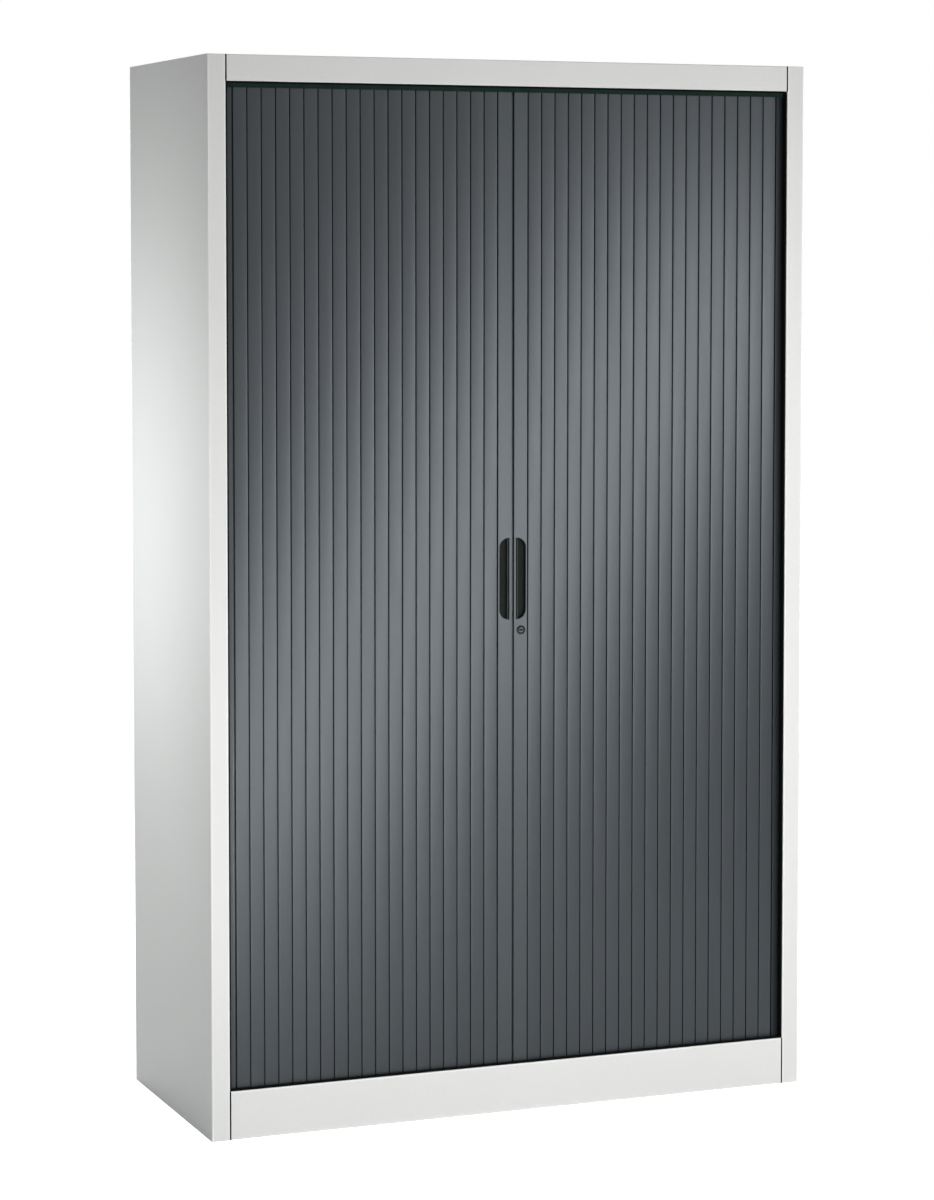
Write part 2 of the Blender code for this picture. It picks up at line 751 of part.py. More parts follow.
def pull_outline(inset):
    """D shape of a finger pull: straight towards the centre, well rounded on the other side."""
    left = PULL_INNER + inset
    right = PULL_OUTER - inset
    low = PULL_BOTTOM + inset
    high = PULL_TOP - inset
    big = PULL_OUTER_RADIUS - inset
    small = max(PULL_INNER_RADIUS - inset, PULL_INNER_RADIUS / 4)
    return (
        corner((right - big, high - big), big, 0, 90)
        + corner((left + small, high - small), small, 90, 180)
        + corner((left + small, low + small), small, 180, 270)
        + corner((right - big, low + big), big, 270, 360)
    )


def make_finger_pull(side, parent, material):
    """Moulded cup in the lead bar, with an upright lip that the fingers pull on."""
    name = f"{side_name(side)}_finger_pull"
    floor = LEAD_FRONT + PULL_DEPTH
    outer = mirrored(pull_outline(SEAT_GAP), side)
    cup = prism(name, outer, LEAD_FRONT - PULL_PROUD, floor, "Y")
    inner = mirrored(pull_outline(SEAT_GAP + PULL_WALL), side)
    cut(cup, prism(f"{name}_hollow", inner, LEAD_FRONT - OVERRUN, floor - PULL_WALL, "Y"))
    lip = PULL_INNER + SEAT_GAP + PULL_WALL + PULL_LIP_INSET
    low = (side * lip, LEAD_FRONT + PULL_LIP_DROP, PULL_BOTTOM + SEAT_GAP + PULL_WALL / 2)
    high = (side * (lip + PULL_LIP_WIDTH), floor - PULL_WALL / 2, PULL_TOP - SEAT_GAP - PULL_WALL / 2)
    fuse(cup, box(f"{name}_lip", low, high))
    return dress(cup, material, parent)


def make_lock(finishes, bar_parent, plug_parent, other_parent):
    """Cylinder lock: ring and body in the bar, a turning plug with a hook, and the strike opposite."""
    centre = (LOCK_X, 0, LOCK_HEIGHT)
    ring_front = LEAD_FRONT - LOCK_RING_PROUD
    seat = LEAD_FRONT - SEAT_GAP
    body_back = LEAD_BACK - SEAT_GAP
    barrel = turned(
        "lock_barrel",
        [
            (LOCK_BORE_RADIUS, ring_front),
            (LOCK_RING_RADIUS, ring_front),
            (LOCK_RING_RADIUS, seat),
            (LOCK_BODY_RADIUS, seat),
            (LOCK_BODY_RADIUS, body_back),
            (LOCK_BORE_RADIUS, body_back),
        ],
        centre,
    )
    dress(barrel, finishes["chrome"], bar_parent)

    plug_outline = circle((LOCK_X, LOCK_HEIGHT), LOCK_BORE_RADIUS - SEAT_GAP)
    plug_front = ring_front - PLUG_PROUD
    plug = prism("lock_plug", plug_outline, plug_front, body_back, "Y")
    half = TANG_WIDTH / 2
    fuse(
        plug,
        box(
            "lock_plug_tang",
            (LOCK_X - half, body_back - OVERRUN, LOCK_HEIGHT - half),
            (LOCK_X + half, HOOK_BACK, LOCK_HEIGHT + half),
        ),
    )
    cut(
        plug,
        box(
            "lock_plug_keyway",
            (LOCK_X - KEYWAY_LENGTH / 2, plug_front - OVERRUN, LOCK_HEIGHT - KEYWAY_WIDTH / 2),
            (LOCK_X + KEYWAY_LENGTH / 2, plug_front + KEYWAY_DEPTH, LOCK_HEIGHT + KEYWAY_WIDTH / 2),
        ),
    )
    dress(plug, finishes["chrome"], plug_parent)

    near = HOOK_WIDTH / 2
    hook_outline = [
        (LOCK_X - near, LOCK_HEIGHT + near),
        (LOCK_X + near, LOCK_HEIGHT + near),
        (LOCK_X + near, LOCK_HEIGHT - TOOTH_FAR),
        (LOCK_X - near - HOOK_TOOTH_HEIGHT, LOCK_HEIGHT - TOOTH_FAR),
        (LOCK_X - near - HOOK_TOOTH_HEIGHT, LOCK_HEIGHT - TOOTH_NEAR),
        (LOCK_X - near, LOCK_HEIGHT - TOOTH_NEAR),
    ]
    hook = prism("lock_hook", hook_outline, HOOK_FRONT, HOOK_BACK, "Y")
    hole = half + SEAT_GAP
    cut(
        hook,
        box(
            "lock_hook_hole",
            (LOCK_X - hole, HOOK_FRONT - OVERRUN, LOCK_HEIGHT - hole),
            (LOCK_X + hole, HOOK_BACK + OVERRUN, LOCK_HEIGHT + hole),
        ),
    )
    dress(hook, finishes["zinc"], plug_parent)

    lip_low = LOCK_HEIGHT + near + HOOK_CLEARANCE
    plate_low = lip_low + STRIKE_LIP_HEIGHT
    plate_high = plate_low + STRIKE_PLATE_HEIGHT
    strike_outline = [
        (-STRIKE_INNER, lip_low),
        (-STRIKE_INNER, plate_high),
        (STRIKE_EDGE - LEAD_OUTER, plate_high),
        (STRIKE_EDGE - LEAD_OUTER, plate_low),
        (-STRIKE_INNER - STRIKE_LIP_WIDTH, plate_low),
        (-STRIKE_INNER - STRIKE_LIP_WIDTH, lip_low),
    ]
    strike = prism("lock_strike", strike_outline, HOOK_FRONT, HOOK_BACK, "Y")
    dress(strike, finishes["zinc"], other_parent)


def make_shutters(finishes):
    """Both shutters, each on an empty that slides with it."""
    parents = {}
    for side in (-1, 1):
        name = side_name(side)
        parent = empty(f"{name}_shutter", (side * LOCK_X, FRONT_RUN, PULL_CENTRE_HEIGHT))
        parents[side] = parent
        make_lead_bar(side, parent, finishes["bar"])
        make_finger_pull(side, parent, finishes["black"])
        for number in range(SLAT_BUNDLES):
            first = round(number * SLAT_COUNT / SLAT_BUNDLES)
            after = round((number + 1) * SLAT_COUNT / SLAT_BUNDLES)
            make_slat_bundle(side, number + 1, list(range(first, after)), parent, finishes["slat"])
    plug_parent = empty("lock_cylinder", (LOCK_X, LEAD_FRONT, LOCK_HEIGHT))
    make_lock(finishes, parents[1], plug_parent, parents[-1])


# Levelling feet


def make_foot_bracket(name, side, place, material):
    """C-shaped bracket under the floor panel with a nut for the foot's stem."""
    web = PANEL_HALF - SHEET - SEAT_GAP
    top = FLOOR_TOP - SHEET - SEAT_GAP
    low = top - BRACKET_HEIGHT
    path = [(web - BRACKET_REACH, low), (web, low), (web, top), (web - BRACKET_REACH, top)]
    near = place[1] - BRACKET_LENGTH / 2
    outline = mirrored(folded(path, BRACKET_SHEET), side)
    bracket = prism(f"{name}_foot_bracket", outline, near, near + BRACKET_LENGTH, "Y")
    plate_top = low + BRACKET_SHEET
    nut_top = plate_top + NUT_HEIGHT
    nut = circle(place, NUT_RADIUS, NUT_SIDES)
    fuse(bracket, prism(f"{name}_nut", nut, plate_top - BRACKET_SHEET / 2, nut_top, "Z"))
    thread = circle(place, STEM_RADIUS + SEAT_GAP)
    cut(bracket, prism(f"{name}_thread_hole", thread, low - OVERRUN, nut_top + OVERRUN, "Z"))
    access = circle(place, ACCESS_RADIUS)
    access_start = top - BRACKET_SHEET - OVERRUN
    cut(bracket, prism(f"{name}_access_hole", access, access_start, top + OVERRUN, "Z"))
    return dress(bracket, material)


def make_foot(name, place, material):
    """Threaded foot with a hexagon socket in the top of its stem."""
    pad_top = FOOT_LIFT + FOOT_HEIGHT
    foot = prism(f"{name}_foot", circle(place, FOOT_RADIUS), FOOT_LIFT, pad_top, "Z")
    stem = circle(place, STEM_RADIUS)
    fuse(foot, prism(f"{name}_foot_stem", stem, pad_top - FOOT_HEIGHT / 2, STEM_TOP, "Z"))
    socket = circle(place, SOCKET_RADIUS, NUT_SIDES)
    cut(foot, prism(f"{name}_foot_socket", socket, STEM_TOP - SOCKET_DEPTH, STEM_TOP + OVERRUN, "Z"))
    return dress(foot, material, origin=(*place, FOOT_LIFT))


def make_feet(finishes):
    for name, side, place in foot_places():
        make_foot_bracket(name, side, place, finishes["zinc"])
        make_foot(name, place, finishes["rubber"])


def main():
    clear_scene()
    finishes = {key: finish(*values) for key, values in FINISH_SHARES.items()}
    coat = finishes["coat"]
    for side in (-1, 1):
        make_side_panel(side, coat)
        make_pocket_liner(side, coat)
    make_top_panel(coat)
    make_ceiling_panel(coat)
    make_floor_panel(coat)
    make_plinth_panel(coat)
    make_back_panel(coat)
    make_tracks(finishes["track"])
    make_shelves(finishes)
    make_shutters(finishes)
    make_feet(finishes)


main()
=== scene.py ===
"""The look of a tambour door cabinet, built round its packed solids.

The file is laid out as an add-on: each operator makes one group of pieces, and the panel in the
sidebar lists them. It runs as a script. Metres, +Z up, and the front faces -Y.
"""

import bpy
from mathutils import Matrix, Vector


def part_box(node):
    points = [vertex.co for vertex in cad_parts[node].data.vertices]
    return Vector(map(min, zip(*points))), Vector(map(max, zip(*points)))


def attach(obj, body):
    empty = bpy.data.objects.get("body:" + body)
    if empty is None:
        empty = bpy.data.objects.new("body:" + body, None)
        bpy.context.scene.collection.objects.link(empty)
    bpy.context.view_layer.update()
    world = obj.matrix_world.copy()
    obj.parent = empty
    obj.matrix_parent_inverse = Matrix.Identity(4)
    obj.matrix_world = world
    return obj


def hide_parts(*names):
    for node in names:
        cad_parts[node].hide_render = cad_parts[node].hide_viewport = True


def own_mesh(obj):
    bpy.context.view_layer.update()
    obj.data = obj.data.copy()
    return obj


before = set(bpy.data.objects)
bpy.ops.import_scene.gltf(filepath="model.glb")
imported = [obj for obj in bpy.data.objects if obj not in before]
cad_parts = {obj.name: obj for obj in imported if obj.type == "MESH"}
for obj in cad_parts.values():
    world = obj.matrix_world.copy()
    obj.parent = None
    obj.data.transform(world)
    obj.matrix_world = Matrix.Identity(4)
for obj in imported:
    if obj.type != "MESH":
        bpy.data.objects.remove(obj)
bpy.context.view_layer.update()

import math

import bmesh
import bpy
from bpy.props import FloatProperty, FloatVectorProperty, IntProperty, PointerProperty
from mathutils import Quaternion, Vector

bl_info = {
    "name": "Tambour Door Cabinet",
    "version": (1, 0, 0),
    "blender": (4, 5, 0),
    "location": "View3D > Sidebar > Cabinet",
    "description": "Builds the sheets, slats, bars, pulls, lock and stage of a tambour door cabinet",
    "category": "Object",
}

SIDES = {"left": -1, "right": 1}
ROWS = ("front", "rear")
SHELVES = (1, 2, 3, 4)

# Places of the packed solids that the pieces are fitted to, on the right side
PANEL_LOW, PANEL_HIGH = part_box("right_side_panel")
HALF_WIDTH = PANEL_HIGH.x
STILE_INNER = PANEL_LOW.x
FRONT = PANEL_LOW.y
REAR = PANEL_HIGH.y
HEIGHT = PANEL_HIGH.z
PLINTH_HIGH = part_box("plinth_panel")[1]
FASCIA_HALF = PLINTH_HIGH.x
RETURN_END = PLINTH_HIGH.y
PLINTH_HEIGHT = PLINTH_HIGH.z
TOP_LOW, TOP_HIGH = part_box("top_panel")
PANEL_HALF = TOP_HIGH.x
FASCIA_BOTTOM = TOP_LOW.z

# Slats and the path that they follow. The front feet stand under the centres of the front bends
BUNDLE_LOW, BUNDLE_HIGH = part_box("right_slats_1")
BUNDLE_SIZE = 4
BUNDLES = 5
SLAT_COUNT = BUNDLE_SIZE * BUNDLES
TRACK_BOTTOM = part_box("right_upper_track")[0].z
FOOT_LOW, FOOT_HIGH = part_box("front_right_foot")
BEND_CENTRE = (FOOT_LOW + FOOT_HIGH) / 2
RUN_Y = (BUNDLE_LOW.y + BUNDLE_HIGH.y) / 2
BEND_RADIUS = BEND_CENTRE.y - RUN_Y
SLAT_THICKNESS = BUNDLE_HIGH.y - BUNDLE_LOW.y

# Lead bar, pull and lock on the right side
BAR_LOW, BAR_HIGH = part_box("right_lead_bar")
PULL_LOW, PULL_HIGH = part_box("right_finger_pull")
BARREL_LOW, BARREL_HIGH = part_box("lock_barrel")
PLUG_LOW, PLUG_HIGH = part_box("lock_plug")
HOOK_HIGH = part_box("lock_hook")[1]
LOCK_AXIS = (BARREL_LOW + BARREL_HIGH) / 2

QUARTER = math.pi / 2
# Shading is smooth below the first angle, edges are rounded above the second, and faces that meet
# below the third count as one flat
SMOOTH_LIMIT = math.radians(35)
EDGE_LIMIT = math.radians(30)
FLAT_LIMIT = math.radians(1)
# How far a cutter runs past what it cuts, and a glide or tang into what carries it
OVERRUN = 0.004
# Flats in the rounding of packed solids, of thin trim, of bars and pull lips, and of the lock ring's
# two edges
SOLID_STEPS = 2
TRIM_STEPS = 3
LIP_STEPS = 4
RING_INNER_STEPS = 4
RING_OUTER_STEPS = 6
# Rounding of a pull's lip in shares of its width
LIP_ROUND_SHARE = 0.35
# Rings in a rivet's domed head, and flats round it
RIVET_RINGS = 5
RIVET_STEPS = 20
# A pull's rim, as insets in shares of its width and heights over the bar in shares of its height
RIM_SHARES = ((0.08, 0.7), (0.30, 1.0), (0.75, 1.0), (1.00, 0.5), (1.10, -1.0))
# The foot of a pull's hollow, as insets and heights over its floor in shares of the rim's width
HOLLOW_SHARES = ((1.20, 2.0), (1.60, 0.7), (2.60, 0.0))
# A foot's pad, as reaches in shares of its radius with heights over the ground or below the pad's top
PAD_LOW_SHARES = ((0.92, 0.0), (1.0, 0.06))
PAD_TOP_SHARES = ((1.0, 0.16), (0.90, 0.05), (0.62, 0.0))
# Height of the pad and radius of the stem in shares of the pad's radius, and the socket's of the stem's
PAD_HEIGHT_SHARE = 4 / 9
STEM_SHARE = 5 / 18
SOCKET_SHARE = 0.56
# One turn of the thread: where its root begins and ends and where its crest lies, in shares of the pitch
THREAD_SHARES = (0.25, 0.40, 0.85)

# Names of the finishes. The last four are finer divisions of the slots track, black and chrome
FINISHES = {
    "coat": "Light grey powder coat",
    "slat": "Anthracite slat plastic",
    "bar": "Anthracite bar coat",
    "black": "Black moulded plastic",
    "track": "Dark track plastic",
    "chrome": "Chromed lock metal",
    "zinc": "Zinc plated steel",
    "rubber": "Black foot plastic",
    # Near black that paints shade in the reveals, seams and keyway
    "shade_lining": "Black brush seal",
    # Green black that paints the fascia's shadow on the slats
    "brush": "Green black brush strip",
    "lip": "Glossy moulded plastic with painted sheen",
    "core": "Dark lock metal",
}


def length(name, description, default):
    """A length that a user may change."""
    return FloatProperty(
        name=name, description=description, default=default, min=0, unit="LENGTH", precision=4, step=0.01
    )


def share(name, description, default):
    """A share between nothing and one."""
    return FloatProperty(name=name, description=description, default=default, min=0, max=1, subtype="FACTOR")


def colour(name, description, default):
    """A linear colour that a user may change."""
    return FloatVectorProperty(
        name=name, description=description, default=default, size=3, min=0, max=1, subtype="COLOR"
    )


def count(name, description, default, least, most):
    """A number of flats that a user may change."""
    return IntProperty(name=name, description=description, default=default, min=least, max=most)


def angle(name, description, degrees):
    """An angle, written in degrees."""
    return FloatProperty(name=name, description=description, default=math.radians(degrees), subtype="ANGLE")


class CabinetSheets(bpy.types.PropertyGroup):
    """Sizes of the folded sheets."""

    thickness: length("Sheet", "Thickness of the sheet steel", 0.001)
    fold_radius: length("Fold radius", "Outer radius of the folds", 0.0022)
    # The margin is how far the painted highlight of a fold reaches beside it
    fold_highlight_margin: length("Fold margin", "Width beside a fold over which the coat lightens", 0.0014)
    rear_return: length("Rear return", "Width of the folded edge at the back", 0.020)
    edge_round: length("Edge rounding", "Rounding of the edges of inner sheets", 0.0003)
    fold_steps: count("Fold steps", "Flats in one fold", 5, 2, 16)
    # The linings, seam strips and the strip below the fascia are dark pieces that paint shade in the reveals
    # and seams and the fascia's shadow
    lining_tall: length("Wide lining", "Thickness of the seal above and below the shutters", 0.0030)
    lining_thin: length("Thin lining", "Thickness of the seal beside the shutters", 0.0028)
    lining_lip: length("Lining lip", "Rounding of the seal's edges", 0.0006)
    strip_drop: length("Strip drop", "How far the brush strip hangs below the fascia", 0.0108)
    strip_thin: length("Strip thickness", "Thickness of the brush strip over the shutters", 0.0014)
    strip_clear: length("Strip clearance", "Distance from the shutters to the strips before them", 0.0010)
    seam_depth: length("Seam depth", "Depth of the seams before the strip that closes them", 0.0002)
    rivet_pitch: length("Rivet pitch", "Distance between rivets at the back", 0.150)
    rivet_radius: length("Rivet radius", "Radius of a rivet's head", 0.0034)


class CabinetShutters(bpy.types.PropertyGroup):
    """Sizes of the slats and the lead bars."""

    pitch: length("Slat pitch", "Distance from one slat to the next", 0.0272)
    bow: length("Bow", "Height of a slat's shallow bow over its shoulders", 0.0003)
    shoulder: length("Shoulder radius", "Rounding of a slat's two edges", 0.0006)
    groove: length("Groove", "Width of the groove between two slats", 0.0018)
    groove_depth: length("Groove depth", "Depth of the groove below a slat's shoulders", 0.0034)
    bead: length("Bead radius", "Rounding of a slat's two rear edges", 0.0006)
    skin: length("Skin", "Thickness of a slat's wall", 0.0018)
    rib: length("Rib", "Width of the hinge rib at each edge of a slat", 0.0017)
    slat_gap: length("Slat gap", "Gap between two slats", 0.0003)
    bar_wall: length("Bar wall", "Thickness of a lead bar's wall", 0.0018)
    bar_lip: length("Bar lip", "Width of a lead bar's rear lips", 0.005)
    bar_round: length("Bar rounding", "Radius of a lead bar's front edges", 0.0007)
    bar_reach: length("Bar reach", "How far a bar's edge stands out into the centre gap", 0.0002)
    bar_seam: length("Bar seam", "Width of the seam between a bar and its first slat", 0.0012)
    meeting_depth: length("Lip depth", "Depth of the left bar's lip behind the centre gap", 0.0055)
    bar_glide: length("Bar glide", "Length of a lead bar's end glides", 0.0109)
    bunched: FloatProperty(
        name="Bunched share",
        description="Share of its width that an opened curtain keeps",
        default=0.002,
        min=0.001,
    )
    crown_steps: count("Crown steps", "Flats across a slat", 12, 4, 48)
    shoulder_steps: count("Shoulder steps", "Flats round a slat's shoulder", 6, 2, 16)


class CabinetHardware(bpy.types.PropertyGroup):
    """Sizes of the finger pulls, the lock and the feet."""

    pull_round: length("Pull corner", "Radius of a pull's two outer corners", 0.0188)
    pull_small: length("Pull edge corner", "Radius of the corners beside the centre gap", 0.0015)
    pull_proud: length("Pull rim", "Height of a pull's rim over the bar", 0.0004)
    pull_rim: length("Rim width", "Width of a pull's rim", 0.0011)
    cup_depth: length("Cup depth", "Depth of a pull's hollow below the bar's face", 0.0075)
    lip_width: length("Lip", "Width of the upright lip in a pull", 0.0014)
    lip_inset: length("Lip inset", "Distance from a pull's straight side to its lip", 0.0025)
    ring_round: length("Ring rounding", "Rounding of the lock's ring", 0.0009)
    keyway_length: length("Keyway length", "Length of the key slot", 0.0074)
    keyway_width: length("Keyway width", "Width of the key slot", 0.0036)
    keyway_depth: length("Keyway depth", "Depth of the key slot", 0.004)
    thread_pitch: length("Thread pitch", "Pitch of the feet's threads", 0.0015)
    round_steps: count("Round steps", "Flats round a turned piece", 48, 12, 192)


class CabinetFinishes(bpy.types.PropertyGroup):
    """Colours and surfaces."""

    coat: colour("Coat", "Light grey powder coat", (0.561, 0.562, 0.552))
    # Lighter coat over the folds: a painted highlight on their rounding
    coat_fold_highlight: colour("Coat at folds", "Coat where it lies over a fold", (0.665, 0.667, 0.657))
    slat: colour("Slats", "Anthracite slat plastic", (0.0205, 0.0235, 0.0260))
    # Darker plastic down in the grooves and over the shoulders: painted shade
    slat_groove_shade: colour("Slat grooves", "Plastic down in the grooves", (0.0040, 0.0060, 0.0060))
    gloss: colour("Gloss", "Tint of the gloss on slats and bars", (0.87, 0.94, 1.0))
    bar: colour("Bars", "Anthracite coat of the lead bars", (0.0220, 0.0255, 0.0280))
    # Lighter coat on the bars' rounded edges: a painted highlight
    bar_edge_highlight: colour("Bar edges", "Coat on the bars' edges", (0.0500, 0.0560, 0.0600))
    black: colour("Pulls", "Black moulded plastic", (0.0080, 0.0100, 0.0092))
    track: colour("Tracks", "Dark plastic of the tracks", (0.0100, 0.0150, 0.0140))
    # Near black that paints shade in the reveals, seams and keyway
    shade_lining: colour("Seals", "Black brush of the seals", (0.0015, 0.0025, 0.0022))
    # Green black that paints the fascia's shadow on the slats
    brush: colour("Brush strip", "Green black brush below the fascia", (0.0110, 0.0230, 0.0190))
    # A lighter copy of the pulls' black paints the sheen along each lip; the lip is also smoother and
    # glossier
    lip: colour("Pull lips", "Moulded plastic, lighter to paint the sheen on the lip", (0.0140, 0.0170, 0.0160))
    # Ring and core are one plated lock metal in two darkened tones, which paint the ring's dark reflections
    # and the core's lighter ones
    chrome: colour("Lock ring", "Plating of the lock's ring", (0.009, 0.011, 0.010))
    core: colour("Lock core", "Metal of the lock's turning core", (0.050, 0.056, 0.053))
    zinc: colour("Zinc", "Plating of clips and brackets", (0.42, 0.44, 0.45))
    rubber: colour("Feet", "Black plastic of the feet", (0.0090, 0.0090, 0.0090))
    coat_roughness: share("Coat roughness", "Roughness of the powder coat", 0.42)
    slat_roughness: share("Slat roughness", "Roughness of the slats", 0.33)
    bar_roughness: share("Bar roughness", "Roughness of the lead bars", 0.36)


class CabinetStage(bpy.types.PropertyGroup):
    """Camera, floor and lamps."""

    lens: FloatProperty(name="Lens", description="Focal length", default=99.97, min=10, unit="CAMERA")
    shift: FloatProperty(name="Shift", description="Upward shift of the lens", default=-0.12)
    place: FloatVectorProperty(
        name="Camera place",
        description="Where the camera stands",
        default=(-2.3932, -5.9962, 1.6349),
        subtype="XYZ",
    )
    turn: angle("Turn", "Turn of the camera to its right", 21.77)
    tilt: angle("Tilt", "Tilt of the camera downwards", 3.60)
    floor: colour("Floor", "Colour of the floor", (0.88, 0.90, 0.90))
    floor_lift: share("Floor lift", "Light that the floor adds to what the camera sees", 0.95)
    floor_gloss: share("Floor in gloss", "Share of that light that shows in glossy surfaces", 0.3)
    ambient: share("Ambient", "Strength of the light from all round", 0.06)
    sky: FloatProperty(
        name="Background", description="Strength of the background, where 1 is white", default=1.0, min=0
    )
    floor_reach: length("Floor reach", "Distance from the middle of the floor to its sides", 40.0)


WHITE = (1.0, 1.0, 1.0)
COOL = (0.970, 1.0, 0.996)
# Lamps of the stage: name, place, aim, width, height, roll in degrees, power in watts and colour
LAMPS = (
    ("low_strip", (0.36, -2.20, 0.60), (0.11, -0.25, 0.80), 1.1, 0.55, 40, 16, WHITE),
    ("high_strip", (1.20, -2.20, 1.30), (0.36, -0.25, 1.15), 1.1, 0.55, 40, 17.5, WHITE),
    ("low_left", (-0.60, -2.20, 0.30), (-0.20, -0.25, 0.60), 0.6, 0.5, 0, 13.5, WHITE),
    ("left_front", (-1.30, -2.00, 1.00), (-0.60, -0.25, 1.00), 0.5, 0.5, 0, 5, WHITE),
    ("high_key", (1.6, -4.2, 4.9), (0.0, -0.25, 1.2), 0.4, 0.4, 0, 75, WHITE),
    ("left_side", (-1.30, 0.22, 1.12), (-0.60, 0.15, 1.12), 0.6, 0.75, 0, 8.7, COOL),
    ("right_side", (2.2, 0.3, 1.25), (0.6, 0.0, 1.1), 1.2, 1.6, 0, 29, WHITE),
    ("back", (0.0, 3.0, 1.5), (0.0, 0.25, 1.0), 1.0, 1.6, 0, 75, WHITE),
    ("overhead", (0.0, 0.6, 4.2), (0.0, 0.1, 1.98), 1.2, 1.2, 0, 30, WHITE),
)


# Mesh helpers


def heading(start, end):
    """The distance between two points of a plane, and the unit vector from the first to the second."""
    run = (end[0] - start[0], end[1] - start[1])
    size = math.hypot(*run)
    return size, (run[0] / size, run[1] / size)


def arc(centre, radius, start, end, steps):
    """Points along part of a circle, with both ends."""
    turns = [start + (end - start) * step / steps for step in range(steps + 1)]
    return [(centre[0] + radius * math.cos(turn), centre[1] + radius * math.sin(turn)) for turn in turns]


def circle(centre, radius, steps):
    """Points all round a centre."""
    return arc(centre, radius, 0, 2 * math.pi, steps)[:-1]


def empty_mesh():
    """A new bmesh, and its layer for the mask of folds and grooves that the finishes read to paint highlights
    on folds and shade in grooves.
    """
    bm = bmesh.new()
    return bm, bm.verts.layers.float.new("fold")


def close_loops(bm, loops):
    """Caps on the first and last loops of corners, and walls from each loop to the next."""
    bm.faces.new(loops[0])
    bm.faces.new(loops[-1])
    for first, second in zip(loops, loops[1:]):
        for index in range(len(first)):
            after = (index + 1) % len(first)
            bm.faces.new([first[index], first[after], second[after], second[index]])


def piece_from(name, bm):
    """Closes a bmesh into a shown object with its faces pointing out."""
    bmesh.ops.recalc_face_normals(bm, faces=bm.faces)
    mesh = bpy.data.meshes.new(name)
    bm.to_mesh(mesh)
    bm.free()
    piece = bpy.data.objects.new(name, mesh)
    bpy.context.scene.collection.objects.link(piece)
    return piece


def dress(piece, finish, body, *nodes, slot=None):
    """Gives a piece its finish and its body, and hides the solids that it stands for."""
    material = bpy.data.materials.get(FINISHES[finish])
    if material is None:
        raise RuntimeError("Make the finishes before the pieces")
    piece.data.materials.clear()
    piece.data.materials.append(material)
    piece.data.shade_smooth()
    piece.data.set_sharp_from_angle(angle=SMOOTH_LIMIT)
    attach(piece, body)
    if nodes:
        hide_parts(*nodes)


def paint_node(node, finish):
    """Gives a packed solid a finish and keeps its shape."""
    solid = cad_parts[node]
    solid.data.materials.clear()
    solid.data.materials.append(bpy.data.materials[FINISHES[finish]])
    for face in solid.data.polygons:
        face.material_index = 0


def rounded(path, radius, steps, margin):
    """A path with its corners rounded, as (point, mask) pairs. The mask is one on the rounding."""
    made = [(path[0], 0.0)]
    for before, corner, after in zip(path, path[1:], path[2:]):
        ways = [heading(corner, other)[1] for other in (before, after)]
        square = ways[0][0] * ways[1][1] - ways[0][1] * ways[1][0]
        centre = [corner[i] + radius * (ways[0][i] + ways[1][i]) for i in range(2)]
        begin = math.atan2(-ways[1][1], -ways[1][0])
        bend = arc(centre, radius, begin, begin - math.copysign(QUARTER, square), steps)
        shoulders = [tuple(corner[i] + (radius + margin) * way[i] for i in range(2)) for way in ways]
        made += [(shoulders[0], 0.0), *((point, 1.0) for point in bend), (shoulders[1], 0.0)]
    made.append((path[-1], 0.0))
    return made


def folded(path, thickness):
    """The closed outline of a sheet whose other face lies to the left of the path."""
    points = [point for point, _ in path]
    other = []
    for index, (point, mask) in enumerate(path):
        near = points[max(index - 1, 0) : index + 2]
        ways = [heading(start, end)[1] for start, end in zip(near, near[1:])]
        along, up = (ways[0][i] + ways[-1][i] for i in range(2))
        reach = 1 + ways[0][0] * ways[-1][0] + ways[0][1] * ways[-1][1]
        other.append(((point[0] - thickness * up / reach, point[1] + thickness * along / reach), mask))
    return list(path) + other[::-1]


def prism(name, outline, start, end, axis, side=1):
    """A closed outline of (point, mask) pairs drawn out along an axis. Minus side mirrors it in X."""
    places = {
        "X": lambda point, along: (along, point[0], point[1]),
        "Y": lambda point, along: (side * point[0], along, point[1]),
        "Z": lambda point, along: (side * point[0], point[1], along),
    }
    bm, painted_light_marks = empty_mesh()
    loops = []
    for along in (start, end):
        loops.append([bm.verts.new(places[axis](point, along)) for point, _ in outline])
        for corner, (_, mask) in zip(loops[-1], outline):
            corner[painted_light_marks] = mask
    close_loops(bm, loops)
    return piece_from(name, bm)


def loft(name, rings, side=1):
    """A closed shape through outlines in X and Z at different depths. Minus side mirrors it in X."""
    bm, _ = empty_mesh()
    close_loops(bm, [[bm.verts.new((side * x, y, z)) for x, z in outline] for outline, y in rings])
    return piece_from(name, bm)


def plain(points):
    """Outline points with an empty mask."""
    return [(point, 0.0) for point in points]


def block(name, first, second):
    """A closed block between two opposite corners, for cutters and joins."""
    low = [min(first[i], second[i]) for i in range(3)]
    high = [max(first[i], second[i]) for i in range(3)]
    corners = [(low[0], low[1]), (high[0], low[1]), (high[0], high[1]), (low[0], high[1])]
    return prism(name, plain(corners), low[2], high[2], "Z")


def combine(piece, tools, operation):
    """Applies Booleans to the piece and removes the tools."""
    for tool in tools:
        change = piece.modifiers.new(tool.name, "BOOLEAN")
        change.object = tool
        change.operation = operation
        change.solver = "EXACT"
    settle(piece)
    for tool in tools:
        bpy.data.objects.remove(tool, do_unlink=True)


def settle(piece):
    """Turns the piece's modifiers into its mesh."""
    graph = bpy.context.evaluated_depsgraph_get()
    mesh = bpy.data.meshes.new_from_object(piece.evaluated_get(graph))
    piece.modifiers.clear()
    piece.data = mesh


